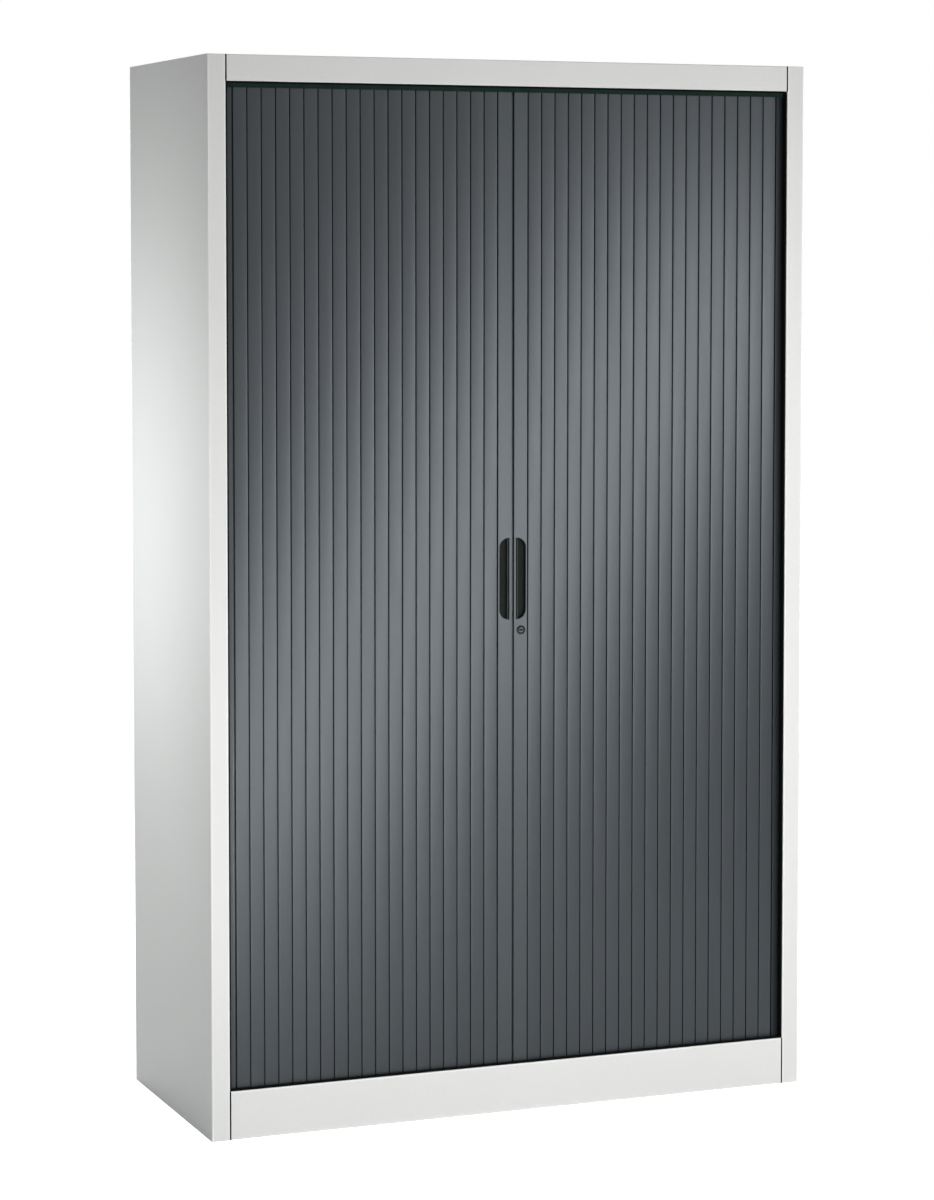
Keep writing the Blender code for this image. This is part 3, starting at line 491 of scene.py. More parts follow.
def soften(name, node, finish, body, width):
    """A copy of a packed solid with its edges rounded, which stands for the solid."""
    bm = bmesh.new()
    bm.from_mesh(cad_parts[node].data)
    bmesh.ops.remove_doubles(bm, verts=bm.verts, dist=width / 50)
    bmesh.ops.dissolve_limit(bm, angle_limit=FLAT_LIMIT, verts=bm.verts, edges=bm.edges)
    edges = [edge for edge in bm.edges if edge.is_manifold and edge.calc_face_angle() > EDGE_LIMIT]
    bmesh.ops.bevel(
        bm,
        geom=edges,
        offset=width,
        segments=SOLID_STEPS,
        profile=0.5,
        affect="EDGES",
        clamp_overlap=True,
    )
    bm.verts.layers.float.new("fold")
    piece = piece_from(name, bm)
    piece.modifiers.new("even_shading", "WEIGHTED_NORMAL").keep_sharp = True
    dress(piece, finish, body, node)


def spun(name, points, centre, axis, steps):
    """A closed loop of points turned once round an axis."""
    bm, _ = empty_mesh()
    corners = [bm.verts.new(point) for point in points]
    edges = [bm.edges.new((corners[i - 1], corners[i])) for i in range(len(corners))]
    full = 2 * math.pi
    bmesh.ops.spin(
        bm, geom=corners + edges, cent=centre, axis=axis, steps=steps, angle=full, use_merge=True
    )
    bmesh.ops.dissolve_degenerate(bm, dist=1e-6, edges=bm.edges)
    return piece_from(name, bm)


# Values of the finishes

# Most of a noise texture's values lie between these
NOISE_LOW = 0.3
NOISE_HIGH = 0.7
# Scales of the noises in the shader groups, from slow clouds to fine lines
CLOUD_SCALE = 2.3
FLECK_SCALE = 160.0
RAG_SCALE = 90.0
LINE_SCALE = 700.0
LINE_CLOUD_SCALE = 4.0
RUB_SCALE = 60.0
PLATE_CLOUD_SCALE = 45.0
FLOOR_CLOUD_SCALE = 1.1
# How coordinates are scaled so that a noise turns into upright lines, on profiles and on plated metal
LINE_STRETCH = (1.0, 1.0, 0.012)
POLISH_STRETCH = (1.0, 1.0, 0.08)
# Lowest and highest tone of one slat against another
OWN_TONE = {"To Min": 0.95, "To Max": 1.05}
# Moulded plastics: scale of the grain, roughness and specular level
MOULDED = {
    "black": (2600.0, 0.70, 0.08),
    "lip": (2600.0, 0.42, 0.35),
    "rubber": (1800.0, 0.62, 0.3),
    "shade_lining": (3000.0, 0.85, 0.05),
    "brush": (3000.0, 0.85, 0.05),
}
# Plated metals: scale of the polishing lines and roughness
PLATED = {"chrome": (1400.0, 0.24), "core": (1800.0, 0.34), "zinc": (900.0, 0.34)}
# What a shader group for a surface puts out
SURFACE = (("Colour", "colour"), ("Roughness", "value"), ("Height", "value"))


# Shader helpers


def add_node(tree, kind, values=None, **settings):
    """A node with its settings, and each input either linked or set."""
    made = tree.nodes.new(kind)
    for key, value in settings.items():
        setattr(made, key, value)
    for key, value in (values or {}).items():
        if isinstance(value, bpy.types.NodeSocket):
            tree.links.new(value, made.inputs[key])
        else:
            made.inputs[key].default_value = value
    return made


def new_group(name, inputs, outputs=SURFACE):
    """An empty shader node group with named inputs and outputs, and its two end nodes."""
    tree = bpy.data.node_groups.new(name, "ShaderNodeTree")
    kinds = {"colour": "NodeSocketColor", "vector": "NodeSocketVector", "value": "NodeSocketFloat"}
    for way, sockets in (("INPUT", inputs), ("OUTPUT", outputs)):
        for label, kind in sockets:
            tree.interface.new_socket(label, in_out=way, socket_type=kinds[kind])
    return tree, tree.nodes.new("NodeGroupInput").outputs, tree.nodes.new("NodeGroupOutput").inputs


def put_out(tree, outputs, **values):
    """Links what a group puts out."""
    for label, value in values.items():
        tree.links.new(value, outputs[label])


def noise(tree, vector, scale, detail=2.0, roughness=0.5):
    """The value of a noise texture."""
    values = {"Vector": vector, "Scale": scale, "Detail": detail, "Roughness": roughness}
    return add_node(tree, "ShaderNodeTexNoise", values).outputs["Fac"]


def spread(tree, value, low, high):
    """A noise value spread over a range."""
    values = {"Value": value, "From Min": NOISE_LOW, "From Max": NOISE_HIGH, "To Min": low, "To Max": high}
    return add_node(tree, "ShaderNodeMapRange", values).outputs["Result"]


def maths(tree, operation, first, second):
    """One sum of two values."""
    return add_node(tree, "ShaderNodeMath", {0: first, 1: second}, operation=operation).outputs[0]


def scaled(tree, vector, amount):
    """A colour or vector times a value."""
    return add_node(tree, "ShaderNodeVectorMath", {0: vector, "Scale": amount}, operation="SCALE").outputs[0]


def stretched(tree, vector, shares):
    """A vector with each part times its own share."""
    return add_node(tree, "ShaderNodeVectorMath", {0: vector, 1: shares}, operation="MULTIPLY").outputs[0]


def mixed(tree, factor, first, second):
    """Two colours mixed. The node takes them at its inputs 6 and 7."""
    return add_node(tree, "ShaderNodeMix", {0: factor, 6: first, 7: second}, data_type="RGBA").outputs[2]


def make_coat_grain():
    """Orange peel of a sprayed or powdered coat, with slow changes of tone and fine flecks."""
    tree, take, give = new_group(
        "Coat Grain",
        [
            ("Vector", "vector"),
            ("Colour", "colour"),
            ("Grain", "value"),
            ("Tone", "value"),
            ("Roughness", "value"),
        ],
    )
    peel = noise(tree, take["Vector"], take["Grain"], detail=3.0, roughness=0.55)
    cloud = noise(tree, take["Vector"], CLOUD_SCALE, detail=3.0)
    fleck = noise(tree, take["Vector"], FLECK_SCALE, roughness=0.6)
    tones = [spread(tree, part, low=-1.0, high=1.0) for part in (cloud, fleck)]
    tone, speck = (maths(tree, "MULTIPLY", part, take["Tone"]) for part in tones)
    level = maths(tree, "ADD", maths(tree, "ADD", tone, speck), 1.0)
    put_out(
        tree,
        give,
        Colour=scaled(tree, take["Colour"], level),
        Roughness=maths(tree, "ADD", take["Roughness"], spread(tree, peel, low=-0.03, high=0.03)),
        Height=peel,
    )


def make_painted_edge_light_and_shade():
    """Painted highlight along folds and edges and painted shade in grooves, where the piece's fold mask says.
    """
    tree, take, give = new_group(
        "Painted Edge Light And Shade",
        [("Colour", "colour"), ("Edge Colour", "colour"), ("Mask", "value"), ("Vector", "vector")],
        [("Colour", "colour")],
    )
    rag = noise(tree, take["Vector"], RAG_SCALE, detail=3.0, roughness=0.6)
    factor = maths(tree, "MULTIPLY", take["Mask"], spread(tree, rag, low=0.82, high=1.0))
    put_out(tree, give, Colour=mixed(tree, factor, take["Colour"], take["Edge Colour"]))


def make_drawn_lines():
    """Fine lines along the length of an extruded profile."""
    tree, take, give = new_group(
        "Drawn Lines",
        [("Vector", "vector"), ("Colour", "colour"), ("Tone", "value"), ("Roughness", "value")],
    )
    along = stretched(tree, take["Vector"], LINE_STRETCH)
    lines = noise(tree, along, LINE_SCALE, detail=3.0, roughness=0.6)
    cloud = noise(tree, take["Vector"], LINE_CLOUD_SCALE)
    middle = maths(tree, "MULTIPLY", maths(tree, "ADD", lines, cloud), 0.5)
    tone = maths(tree, "MULTIPLY", spread(tree, middle, low=-1.0, high=1.0), take["Tone"])
    put_out(
        tree,
        give,
        Colour=scaled(tree, take["Colour"], maths(tree, "ADD", tone, 1.0)),
        Roughness=maths(tree, "ADD", take["Roughness"], spread(tree, lines, low=-0.04, high=0.04)),
        Height=lines,
    )


def make_moulded_grain():
    """The fine spark-eroded grain of moulded plastic, a little rubbed."""
    tree, take, give = new_group(
        "Moulded Grain",
        [("Vector", "vector"), ("Colour", "colour"), ("Grain", "value"), ("Roughness", "value")],
    )
    values = {"Vector": take["Vector"], "Scale": take["Grain"]}
    cells = add_node(tree, "ShaderNodeTexVoronoi", values, feature="SMOOTH_F1").outputs["Distance"]
    rub = noise(tree, take["Vector"], RUB_SCALE, detail=3.0, roughness=0.6)
    put_out(
        tree,
        give,
        Colour=scaled(tree, take["Colour"], spread(tree, rub, low=0.85, high=1.25)),
        Roughness=maths(tree, "ADD", take["Roughness"], spread(tree, rub, low=-0.08, high=0.06)),
        Height=cells,
    )


def make_plating():
    """Faint polishing lines and cloudiness of plated metal."""
    tree, take, give = new_group(
        "Plating",
        [("Vector", "vector"), ("Colour", "colour"), ("Lines", "value"), ("Roughness", "value")],
    )
    across = stretched(tree, take["Vector"], POLISH_STRETCH)
    lines = noise(tree, across, take["Lines"], detail=3.0, roughness=0.6)
    cloud = noise(tree, take["Vector"], PLATE_CLOUD_SCALE, detail=3.0, roughness=0.6)
    put_out(
        tree,
        give,
        Colour=scaled(tree, take["Colour"], spread(tree, cloud, low=0.88, high=1.06)),
        Roughness=maths(tree, "ADD", take["Roughness"], spread(tree, lines, low=-0.05, high=0.07)),
        Height=lines,
    )


def rgba(value):
    """A colour with its alpha."""
    return (*value, 1.0)


def new_material(finish, metallic=0.0, specular=0.5, gloss=WHITE):
    """A material's node tree, its Principled shader and the surface coordinates."""
    material = bpy.data.materials.new(FINISHES[finish])
    material.use_nodes = True
    tree = material.node_tree
    shader = tree.nodes["Principled BSDF"]
    shader.inputs["Metallic"].default_value = metallic
    shader.inputs["Specular IOR Level"].default_value = specular
    shader.inputs["Specular Tint"].default_value = rgba(gloss)
    return tree, shader, tree.nodes.new("ShaderNodeTexCoord").outputs["Object"]


def use_group(tree, group, **values):
    """The outputs of a group node in a material, with its inputs set or linked."""
    return add_node(tree, "ShaderNodeGroup", values, node_tree=bpy.data.node_groups[group]).outputs


def with_painted_edge_light_and_shade(tree, surface, edge, vector):
    """The surface's colour with a painted highlight or painted shade where the piece's own mask has folds or
    grooves.
    """
    mask = add_node(tree, "ShaderNodeAttribute", attribute_name="fold").outputs["Fac"]
    values = {"Colour": surface["Colour"], "Edge Colour": rgba(edge), "Mask": mask, "Vector": vector}
    return use_group(tree, "Painted Edge Light And Shade", **values)["Colour"]


def connect(tree, shader, tinted, surface, depth, strength):
    """Feeds a colour, and the roughness and height that a surface group puts out, to the shader."""
    tree.links.new(tinted, shader.inputs["Base Color"])
    tree.links.new(surface["Roughness"], shader.inputs["Roughness"])
    values = {"Height": surface["Height"], "Distance": depth, "Strength": strength}
    bump = add_node(tree, "ShaderNodeBump", values)
    tree.links.new(bump.outputs["Normal"], shader.inputs["Normal"])


def coated(finish, base, edge, grain, tone, roughness, depth, specular, gloss=WHITE):
    """A powdered or sprayed coat, lighter at its folds to paint the highlight that they catch."""
    tree, shader, vector = new_material(finish, specular=specular, gloss=gloss)
    surface = use_group(
        tree, "Coat Grain", Vector=vector, Colour=rgba(base), Grain=grain, Tone=tone, Roughness=roughness
    )
    connect(tree, shader, with_painted_edge_light_and_shade(tree, surface, edge, vector), surface, depth, strength=0.35)


def drawn(finish, base, groove, tone, roughness, specular, gloss=WHITE):
    """An extruded plastic with painted shade darkening its grooves, each piece with a tone of its own."""
    tree, shader, vector = new_material(finish, specular=specular, gloss=gloss)
    own = add_node(tree, "ShaderNodeObjectInfo").outputs["Random"]
    level = add_node(tree, "ShaderNodeMapRange", {"Value": own, **OWN_TONE}).outputs["Result"]
    plastic = add_node(tree, "ShaderNodeRGB")
    plastic.outputs[0].default_value = rgba(base)
    tinted = scaled(tree, plastic.outputs[0], level)
    surface = use_group(tree, "Drawn Lines", Vector=vector, Colour=tinted, Tone=tone, Roughness=roughness)
    toned = with_painted_edge_light_and_shade(tree, surface, groove, vector)
    connect(tree, shader, toned, surface, depth=0.00004, strength=0.4)


def moulded(finish, base, grain, roughness, specular):
    """A moulded plastic."""
    tree, shader, vector = new_material(finish, specular=specular)
    surface = use_group(
        tree, "Moulded Grain", Vector=vector, Colour=rgba(base), Grain=grain, Roughness=roughness
    )
    connect(tree, shader, surface["Colour"], surface, depth=0.00005, strength=0.5)


def plated(finish, base, lines, roughness):
    """A plated metal."""
    tree, shader, vector = new_material(finish, metallic=1.0)
    surface = use_group(tree, "Plating", Vector=vector, Colour=rgba(base), Lines=lines, Roughness=roughness)
    connect(tree, shader, surface["Colour"], surface, depth=0.00002, strength=0.25)


# Shapes that several operators use


def path_place(distance):
    """Plan position after that distance along the right shutter's path, from the centre line."""
    if distance <= BEND_CENTRE.x:
        return distance, RUN_Y
    turn = (distance - BEND_CENTRE.x) / BEND_RADIUS
    return BEND_CENTRE.x + BEND_RADIUS * math.sin(turn), BEND_CENTRE.y - BEND_RADIUS * math.cos(turn)


def bar_edges(sizes):
    """Distances of a lead bar's two edges from the centre line."""
    return BAR_LOW.x - sizes.bar_reach, BAR_HIGH.x - sizes.bar_seam


def slat_profile(sizes):
    """A slat across its length, as (along, outward, mask) points. The mask of painted shade is one in the
    grooves and fades over the shoulders.
    """
    low = sizes.slat_gap / 2
    high = sizes.pitch - low
    half = SLAT_THICKNESS / 2
    near = sizes.groove / 2
    rise = half - sizes.bow
    slope = math.atan(4 * sizes.bow / (sizes.pitch - 2 * near - 2 * sizes.shoulder))
    edge = rise - sizes.shoulder * math.cos(slope)
    floor = edge - sizes.groove_depth
    left = [(low, floor, 1.0), (near, floor, 1.0)]
    for step in range(sizes.shoulder_steps + 1):
        part = step / sizes.shoulder_steps
        turn = math.pi - (QUARTER - slope) * part
        along = near + sizes.shoulder * (1 + math.cos(turn))
        left.append((along, edge + sizes.shoulder * math.sin(turn), (1 - part) ** 2))
    start = left[-1][0]
    width = sizes.pitch - 2 * start
    crown = []
    for step in range(1, sizes.crown_steps):
        part = step / sizes.crown_steps
        crown.append((start + part * width, rise + sizes.bow * 4 * part * (1 - part), 0.0))
    right = [(sizes.pitch - along, out, mask) for along, out, mask in reversed(left)]
    inner = edge - sizes.skin
    back = [
        (high, -half + sizes.bead, 1.0),
        (high - sizes.bead, -half, 0.0),
        (sizes.pitch - sizes.rib, -half, 0.0),
        (sizes.pitch - sizes.rib, floor - sizes.skin / 2, 0.0),
        (sizes.pitch - near - sizes.skin, floor - sizes.skin / 2, 0.0),
        (sizes.pitch - near - sizes.skin, inner, 0.0),
    ]
    mirrored = [(sizes.pitch - along, out, mask) for along, out, mask in reversed(back)]
    return left + crown + right + back + mirrored


def pull_outline(inset, hardware):
    """D shape of the right pull at some inset: straight at the centre gap, round on the other side."""
    left = PULL_LOW.x + inset
    right = PULL_HIGH.x - inset
    low = PULL_LOW.z + inset
    high = PULL_HIGH.z - inset
    big = hardware.pull_round - inset
    small = max(hardware.pull_small - inset, hardware.pull_small / 4)
    corners = (
        ((right - big, high - big), big),
        ((left + small, high - small), small),
        ((left + small, low + small), small),
        ((right - big, low + big), big),
    )
    points = []
    for quarter, (centre, radius) in enumerate(corners):
        begin = quarter * QUARTER
        points += arc(centre, radius, begin, begin + QUARTER, hardware.round_steps // 4)
    return points


def seam_outline(sheets, clear):
    """Plan of a near-black strip that closes the right seam, painting its shade, and follows the fold of the
    stile.
    """
    fold = sheets.fold_radius + clear
    centre = (STILE_INNER + sheets.fold_radius, FRONT + sheets.fold_radius)
    start = math.asin((sheets.fold_radius - sheets.seam_depth) / fold)
    bend = arc(centre, fold, math.pi + start, math.pi, sheets.fold_steps * 2)
    straight = [(FASCIA_HALF + clear, RETURN_END), (FASCIA_HALF + clear, FRONT + sheets.seam_depth)]
    return plain([*straight, *bend, (bend[-1][0], RETURN_END)])


# Operators


class CABINET_OT_finishes(bpy.types.Operator):
    """Makes the shared shader groups and every finish"""

    bl_idname = "cabinet.finishes"
    bl_label = "Finishes"
    bl_options = {"REGISTER", "UNDO"}

    def execute(self, context):
        for make in (make_coat_grain, make_painted_edge_light_and_shade, make_drawn_lines, make_moulded_grain, make_plating):
            make()
        look = context.scene.cabinet_finishes
        coated(
            "coat",
            look.coat,
            look.coat_fold_highlight,
            grain=420.0,
            tone=0.012,
            roughness=look.coat_roughness,
            depth=0.00012,
            specular=0.36,
        )
        coated(
            "bar",
            look.bar,
            look.bar_edge_highlight,
            grain=520.0,
            tone=0.030,
            roughness=look.bar_roughness,
            depth=0.00006,
            specular=0.5,
            gloss=look.gloss,
        )
        drawn(
            "slat",
            look.slat,
            look.slat_groove_shade,
            tone=0.06,
            roughness=look.slat_roughness,
            specular=0.455,
            gloss=look.gloss,
        )
        drawn("track", look.track, look.track, tone=0.10, roughness=0.5, specular=0.4)
        for finish, values in MOULDED.items():
            moulded(finish, getattr(look, finish), *values)
        for finish, values in PLATED.items():
            plated(finish, getattr(look, finish), *values)
        return {"FINISHED"}


class CABINET_OT_side_sheets(bpy.types.Operator):
    """Folds the two side sheets with their stiles and closes each stile's top"""

    bl_idname = "cabinet.side_sheets"
    bl_label = "Side sheets"
    bl_options = {"REGISTER", "UNDO"}

    def execute(self, context):
        sheets = context.scene.cabinet_sheets
        path = [
            (STILE_INNER, RETURN_END),
            (STILE_INNER, FRONT),
            (HALF_WIDTH, FRONT),
            (HALF_WIDTH, REAR),
            (HALF_WIDTH - sheets.rear_return, REAR),
        ]
        bent = rounded(path, sheets.fold_radius, sheets.fold_steps, sheets.fold_highlight_margin)
        outline = folded(bent, sheets.thickness)
        inset = sheets.thickness
        for name, side in SIDES.items():
            sheet = prism(f"{name}_side_sheet", outline, 0, HEIGHT, "Z", side)
            dress(sheet, "coat", "root", f"{name}_side_panel")
            cap = block(
                f"{name}_stile_cap",
                (side * (STILE_INNER + inset), FRONT + inset, HEIGHT - inset),
                (side * (HALF_WIDTH - inset), RETURN_END, HEIGHT - inset / 10),
            )
            dress(cap, "coat", "root")
        return {"FINISHED"}


class CABINET_OT_top_sheet(bpy.types.Operator):
    """Folds the top sheet down into the fascia and the rear flange"""

    bl_idname = "cabinet.top_sheet"
    bl_label = "Top sheet and fascia"
    bl_options = {"REGISTER", "UNDO"}

    def execute(self, context):
        sheets = context.scene.cabinet_sheets
        path = [
            (REAR, HEIGHT - sheets.rear_return),
            (REAR, HEIGHT),
            (FRONT, HEIGHT),
            (FRONT, FASCIA_BOTTOM),
            (RETURN_END, FASCIA_BOTTOM),
        ]
        bent = rounded(path, sheets.fold_radius, sheets.fold_steps, sheets.fold_highlight_margin)
        sheet = prism("top_sheet", folded(bent, sheets.thickness), -PANEL_HALF, PANEL_HALF, "X")
        below = FASCIA_BOTTOM - OVERRUN
        above = HEIGHT + OVERRUN
        gap = HALF_WIDTH - sheets.thickness - PANEL_HALF
        tools = []
        for name, side in SIDES.items():
            outside = side * (HALF_WIDTH + OVERRUN)
            front_corner = (side * FASCIA_HALF, FRONT - OVERRUN, below)
            tools.append(block(f"{name}_front_notch", front_corner, (outside, RETURN_END + gap, above)))
            flange_end = side * (HALF_WIDTH - sheets.rear_return - gap)
            rear_corner = (flange_end, REAR - sheets.thickness - gap, below)
            tools.append(block(f"{name}_rear_notch", rear_corner, (outside, REAR + OVERRUN, above)))
        combine(sheet, tools, "DIFFERENCE")
        dress(sheet, "coat", "root", "top_panel")
        return {"FINISHED"}


class CABINET_OT_plinth_sheet(bpy.types.Operator):
    """Folds the plinth sheet"""

    bl_idname = "cabinet.plinth_sheet"
    bl_label = "Plinth sheet"
    bl_options = {"REGISTER", "UNDO"}

    def execute(self, context):
        sheets = context.scene.cabinet_sheets
        path = [(RETURN_END, PLINTH_HEIGHT), (FRONT, PLINTH_HEIGHT), (FRONT, 0), (RETURN_END, 0)]
        bent = rounded(path, sheets.fold_radius, sheets.fold_steps, sheets.fold_highlight_margin)
        sheet = prism("plinth_sheet", folded(bent, sheets.thickness), -FASCIA_HALF, FASCIA_HALF, "X")
        dress(sheet, "coat", "root", "plinth_panel")
        return {"FINISHED"}


class CABINET_OT_seals(bpy.types.Operator):
    """Lines the opening and closes the seams between the front sheets with near-black pieces that paint their
    shade
    """

    bl_idname = "cabinet.seals"
    bl_label = "Seals and seam strips"
    bl_options = {"REGISTER", "UNDO"}

    def execute(self, context):
        sheets = context.scene.cabinet_sheets
        clear = (STILE_INNER - FASCIA_HALF) / 10
        reach = STILE_INNER - clear
        low = PLINTH_HEIGHT + clear
        high = FASCIA_BOTTOM - clear
        tall, thin = sheets.lining_tall, sheets.lining_thin
        before_bars = BAR_LOW.y - sheets.strip_clear
        self.make_lining(sheets, "lower_opening_seal", low, tall, RETURN_END, (-reach, reach), "X")
        self.make_lining(sheets, "upper_opening_seal", high, -tall, RETURN_END, (-reach, reach), "X")
        self.make_fascia_shadow_strip(sheets, before_bars, reach)
        upright = (low + tall + clear, high - tall - clear)
        seam = seam_outline(sheets, clear)
        seams = {"lower": (clear, PLINTH_HEIGHT), "upper": (FASCIA_BOTTOM, HEIGHT - clear)}
        for name, side in SIDES.items():
            self.make_lining(sheets, f"{name}_opening_seal", reach, -thin, before_bars, upright, "Z", side)
            for level, (bottom, top) in seams.items():
                strip = prism(f"{name}_{level}_seam_strip", seam, bottom, top, "Z", side)
                dress(strip, "shade_lining", "root", slot="track")
        return {"FINISHED"}

    def make_lining(self, sheets, name, base, thickness, rear, ends, axis, side=1):
        """A near-black lining on the face at base that paints the reveal's shade, standing out by its
        thickness towards the opening.
        """
        front = FRONT + sheets.fold_radius
        top = base + thickness
        path = [(front, base), (front, top), (rear, top), (rear, base)]
        outline = rounded(path, sheets.lining_lip, TRIM_STEPS, sheets.lining_lip / 4)
        if axis == "Z":
            outline = [((point[1], point[0]), mask) for point, mask in outline]
        dress(prism(name, outline, *ends, axis, side), "shade_lining", "root", slot="track")

    def make_fascia_shadow_strip(self, sheets, back, reach):
        """A green black strip that hangs below the fascia, before the slats' upper ends, and paints the
        fascia's shadow on them.
        """
        front = back - sheets.strip_thin
        bottom = FASCIA_BOTTOM - sheets.strip_drop
        top = TRACK_BOTTOM - sheets.lining_lip
        path = [(front, top), (front, bottom), (back, bottom), (back, top)]
        outline = rounded(path, sheets.strip_thin / 3, TRIM_STEPS, sheets.lining_lip / 4)
        dress(prism("upper_brush_strip", outline, -reach, reach, "X"), "brush", "root", slot="track")


class CABINET_OT_inner_sheets(bpy.types.Operator):
    """Rounds the edges of the back, floor, ceiling and shelves, and finishes the pocket liners"""

    bl_idname = "cabinet.inner_sheets"
    bl_label = "Back, floor, ceiling, shelves and liners"
    bl_options = {"REGISTER", "UNDO"}

    def execute(self, context):
        width = context.scene.cabinet_sheets.edge_round
        for part in ("back", "floor", "ceiling"):
            soften(f"{part}_sheet", f"{part}_panel", "coat", "root", width)
        for number in SHELVES:
            soften(f"shelf_{number}_sheet", f"shelf_{number}", "coat", "root", width)
        for name in SIDES:
            paint_node(f"{name}_pocket_liner", "coat")
        return {"FINISHED"}


class CABINET_OT_rivets(bpy.types.Operator):
    """Sets the painted rivets that hold the back sheet and the rear flange"""

    bl_idname = "cabinet.rivets"
    bl_label = "Rivets at the back"
    bl_options = {"REGISTER", "UNDO"}

    def execute(self, context):
        sheets = context.scene.cabinet_sheets
        inset = sheets.rear_return / 2
        span = HEIGHT - 2 * inset
        up = int(span / sheets.rivet_pitch)
        rows = {}
        for name, side in SIDES.items():
            places = [(side * (HALF_WIDTH - inset), inset + step * span / up) for step in range(up + 1)]
            rows[f"{name}_return_rivets"] = places
        reach = HALF_WIDTH - 2 * sheets.rear_return
        across = int(2 * reach / sheets.rivet_pitch)
        flange = [reach * (2 * step / across - 1) for step in range(across + 1)]
        rows["flange_rivets"] = [(x, HEIGHT - inset) for x in flange]
        for name, places in rows.items():
            bm, _ = empty_mesh()
            for place in places:
                rings = self.rivet_rings(sheets, place)
                close_loops(bm, [[bm.verts.new(point) for point in ring] for ring in rings])
            dress(piece_from(name, bm), "coat", "root")
        return {"FINISHED"}

    def rivet_rings(self, sheets, place):
        """Rings of points from a rivet's foot in the sheet up its domed head."""
        radius = sheets.rivet_radius
        rings = [(radius, REAR - sheets.thickness / 2)]
        for part in range(RIVET_RINGS):
            turn = QUARTER * part / RIVET_RINGS
            rings.append((radius * math.cos(turn), REAR + radius / 3 * math.sin(turn)))
        return [[(x, depth, z) for x, z in circle(place, reach, RIVET_STEPS)] for reach, depth in rings]


class CABINET_OT_tracks(bpy.types.Operator):
    """Finishes the four tracks"""

    bl_idname = "cabinet.tracks"
    bl_label = "Tracks"
    bl_options = {"REGISTER", "UNDO"}

    def execute(self, context):
        for name in SIDES:
            for level in ("lower", "upper"):
                paint_node(f"{name}_{level}_track", "track")
        return {"FINISHED"}


class CABINET_OT_slats(bpy.types.Operator):
    """Makes every slat of both shutters, the last one of each on the bend"""

    bl_idname = "cabinet.slats"
    bl_label = "Slats"
    bl_options = {"REGISTER", "UNDO"}

    def execute(self, context):
        sizes = context.scene.cabinet_shutters
        profile = slat_profile(sizes)
        start = BUNDLE_LOW.x - sizes.slat_gap / 2
        for name, side in SIDES.items():
            for number in range(SLAT_COUNT):
                first = path_place(start + number * sizes.pitch)
                last = path_place(start + (number + 1) * sizes.pitch)
                outline = self.placed(profile, first, last, sizes.pitch)
                slat = prism(f"{name}_slat_{number + 1:02d}", outline, BUNDLE_LOW.z, BUNDLE_HIGH.z, "Z", side)
                bundle = f"{name}_slats_{number // BUNDLE_SIZE + 1}"
                if number + 1 == SLAT_COUNT:
                    dress(slat, "slat", "root", bundle)
                    continue
                dress(slat, "slat", f"{name}_shutter", bundle)
                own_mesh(slat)
        return {"FINISHED"}

    def placed(self, profile, first, last, pitch):
        """A slat's profile laid between two places on the path."""
        size, way = heading(first, last)
        outline = []
        for along, out, mask in profile:
            reach = along * size / pitch
            point = (first[0] + reach * way[0] + out * way[1], first[1] + reach * way[1] - out * way[0])
            outline.append((point, mask))
        return outline


class CABINET_OT_lead_bars(bpy.types.Operator):
    """Makes the two lead bars with their end glides and openings, and the left bar's meeting lip"""

    bl_idname = "cabinet.lead_bars"
    bl_label = "Lead bars"
    bl_options = {"REGISTER", "UNDO"}

    def execute(self, context):
        sizes = context.scene.cabinet_shutters
        hardware = context.scene.cabinet_hardware
        inner, outer = bar_edges(sizes)
        front, back = BAR_LOW.y, BAR_HIGH.y
        path = [
            (inner + sizes.bar_lip, back),
            (inner, back),
            (inner, front),
            (outer, front),
            (outer, back),
            (outer - sizes.bar_lip, back),
        ]
        bent = rounded(path, sizes.bar_round, LIP_STEPS, sizes.bar_round / 2)
        outline = folded(bent, sizes.bar_wall / 2)
        low, high = BAR_LOW.z + sizes.bar_glide, BAR_HIGH.z - sizes.bar_glide
        through = front + sizes.bar_wall + OVERRUN
        half = sizes.bar_wall / 4
        glide_back = RUN_Y + SLAT_THICKNESS / 2
        for name, side in SIDES.items():
            bar = prism(f"{name}_bar", outline, low, high, "Z", side)
            opening = plain(pull_outline(0, hardware))
            tools = [prism(f"{name}_bar_opening", opening, front - OVERRUN, through, "Y", side)]
            if side > 0:
                radius = (BARREL_HIGH.x - BARREL_LOW.x) / 2 - hardware.ring_round * 2
                hole = plain(circle((LOCK_AXIS.x, LOCK_AXIS.z), radius, hardware.round_steps))
                tools.append(prism(f"{name}_lock_hole", hole, front - OVERRUN, through, "Y"))
            combine(bar, tools, "DIFFERENCE")
            dress(bar, "bar", f"{name}_shutter", f"{name}_lead_bar")
            ends = {"lower": (BAR_LOW.z, low + OVERRUN), "upper": (high - OVERRUN, BAR_HIGH.z)}
            for end, (bottom, top) in ends.items():
                near = (side * (inner + half), front + half, bottom)
                far = (side * (outer - half), glide_back, top)
                dress(block(f"{name}_bar_{end}_glide", near, far), "black", f"{name}_shutter")
        root, tip = inner + half, half - inner
        lip_front = front + sizes.meeting_depth
        lip_back = lip_front + sizes.bar_wall / 2
        path = [(root, lip_front), (tip, lip_front), (tip, lip_back), (root, lip_back)]
        outline = rounded(path, half / 2, TRIM_STEPS, half / 4)
        lip = prism("left_bar_meeting_lip", outline, low, high, "Z", SIDES["left"])
        dress(lip, "bar", "left_shutter")
        return {"FINISHED"}


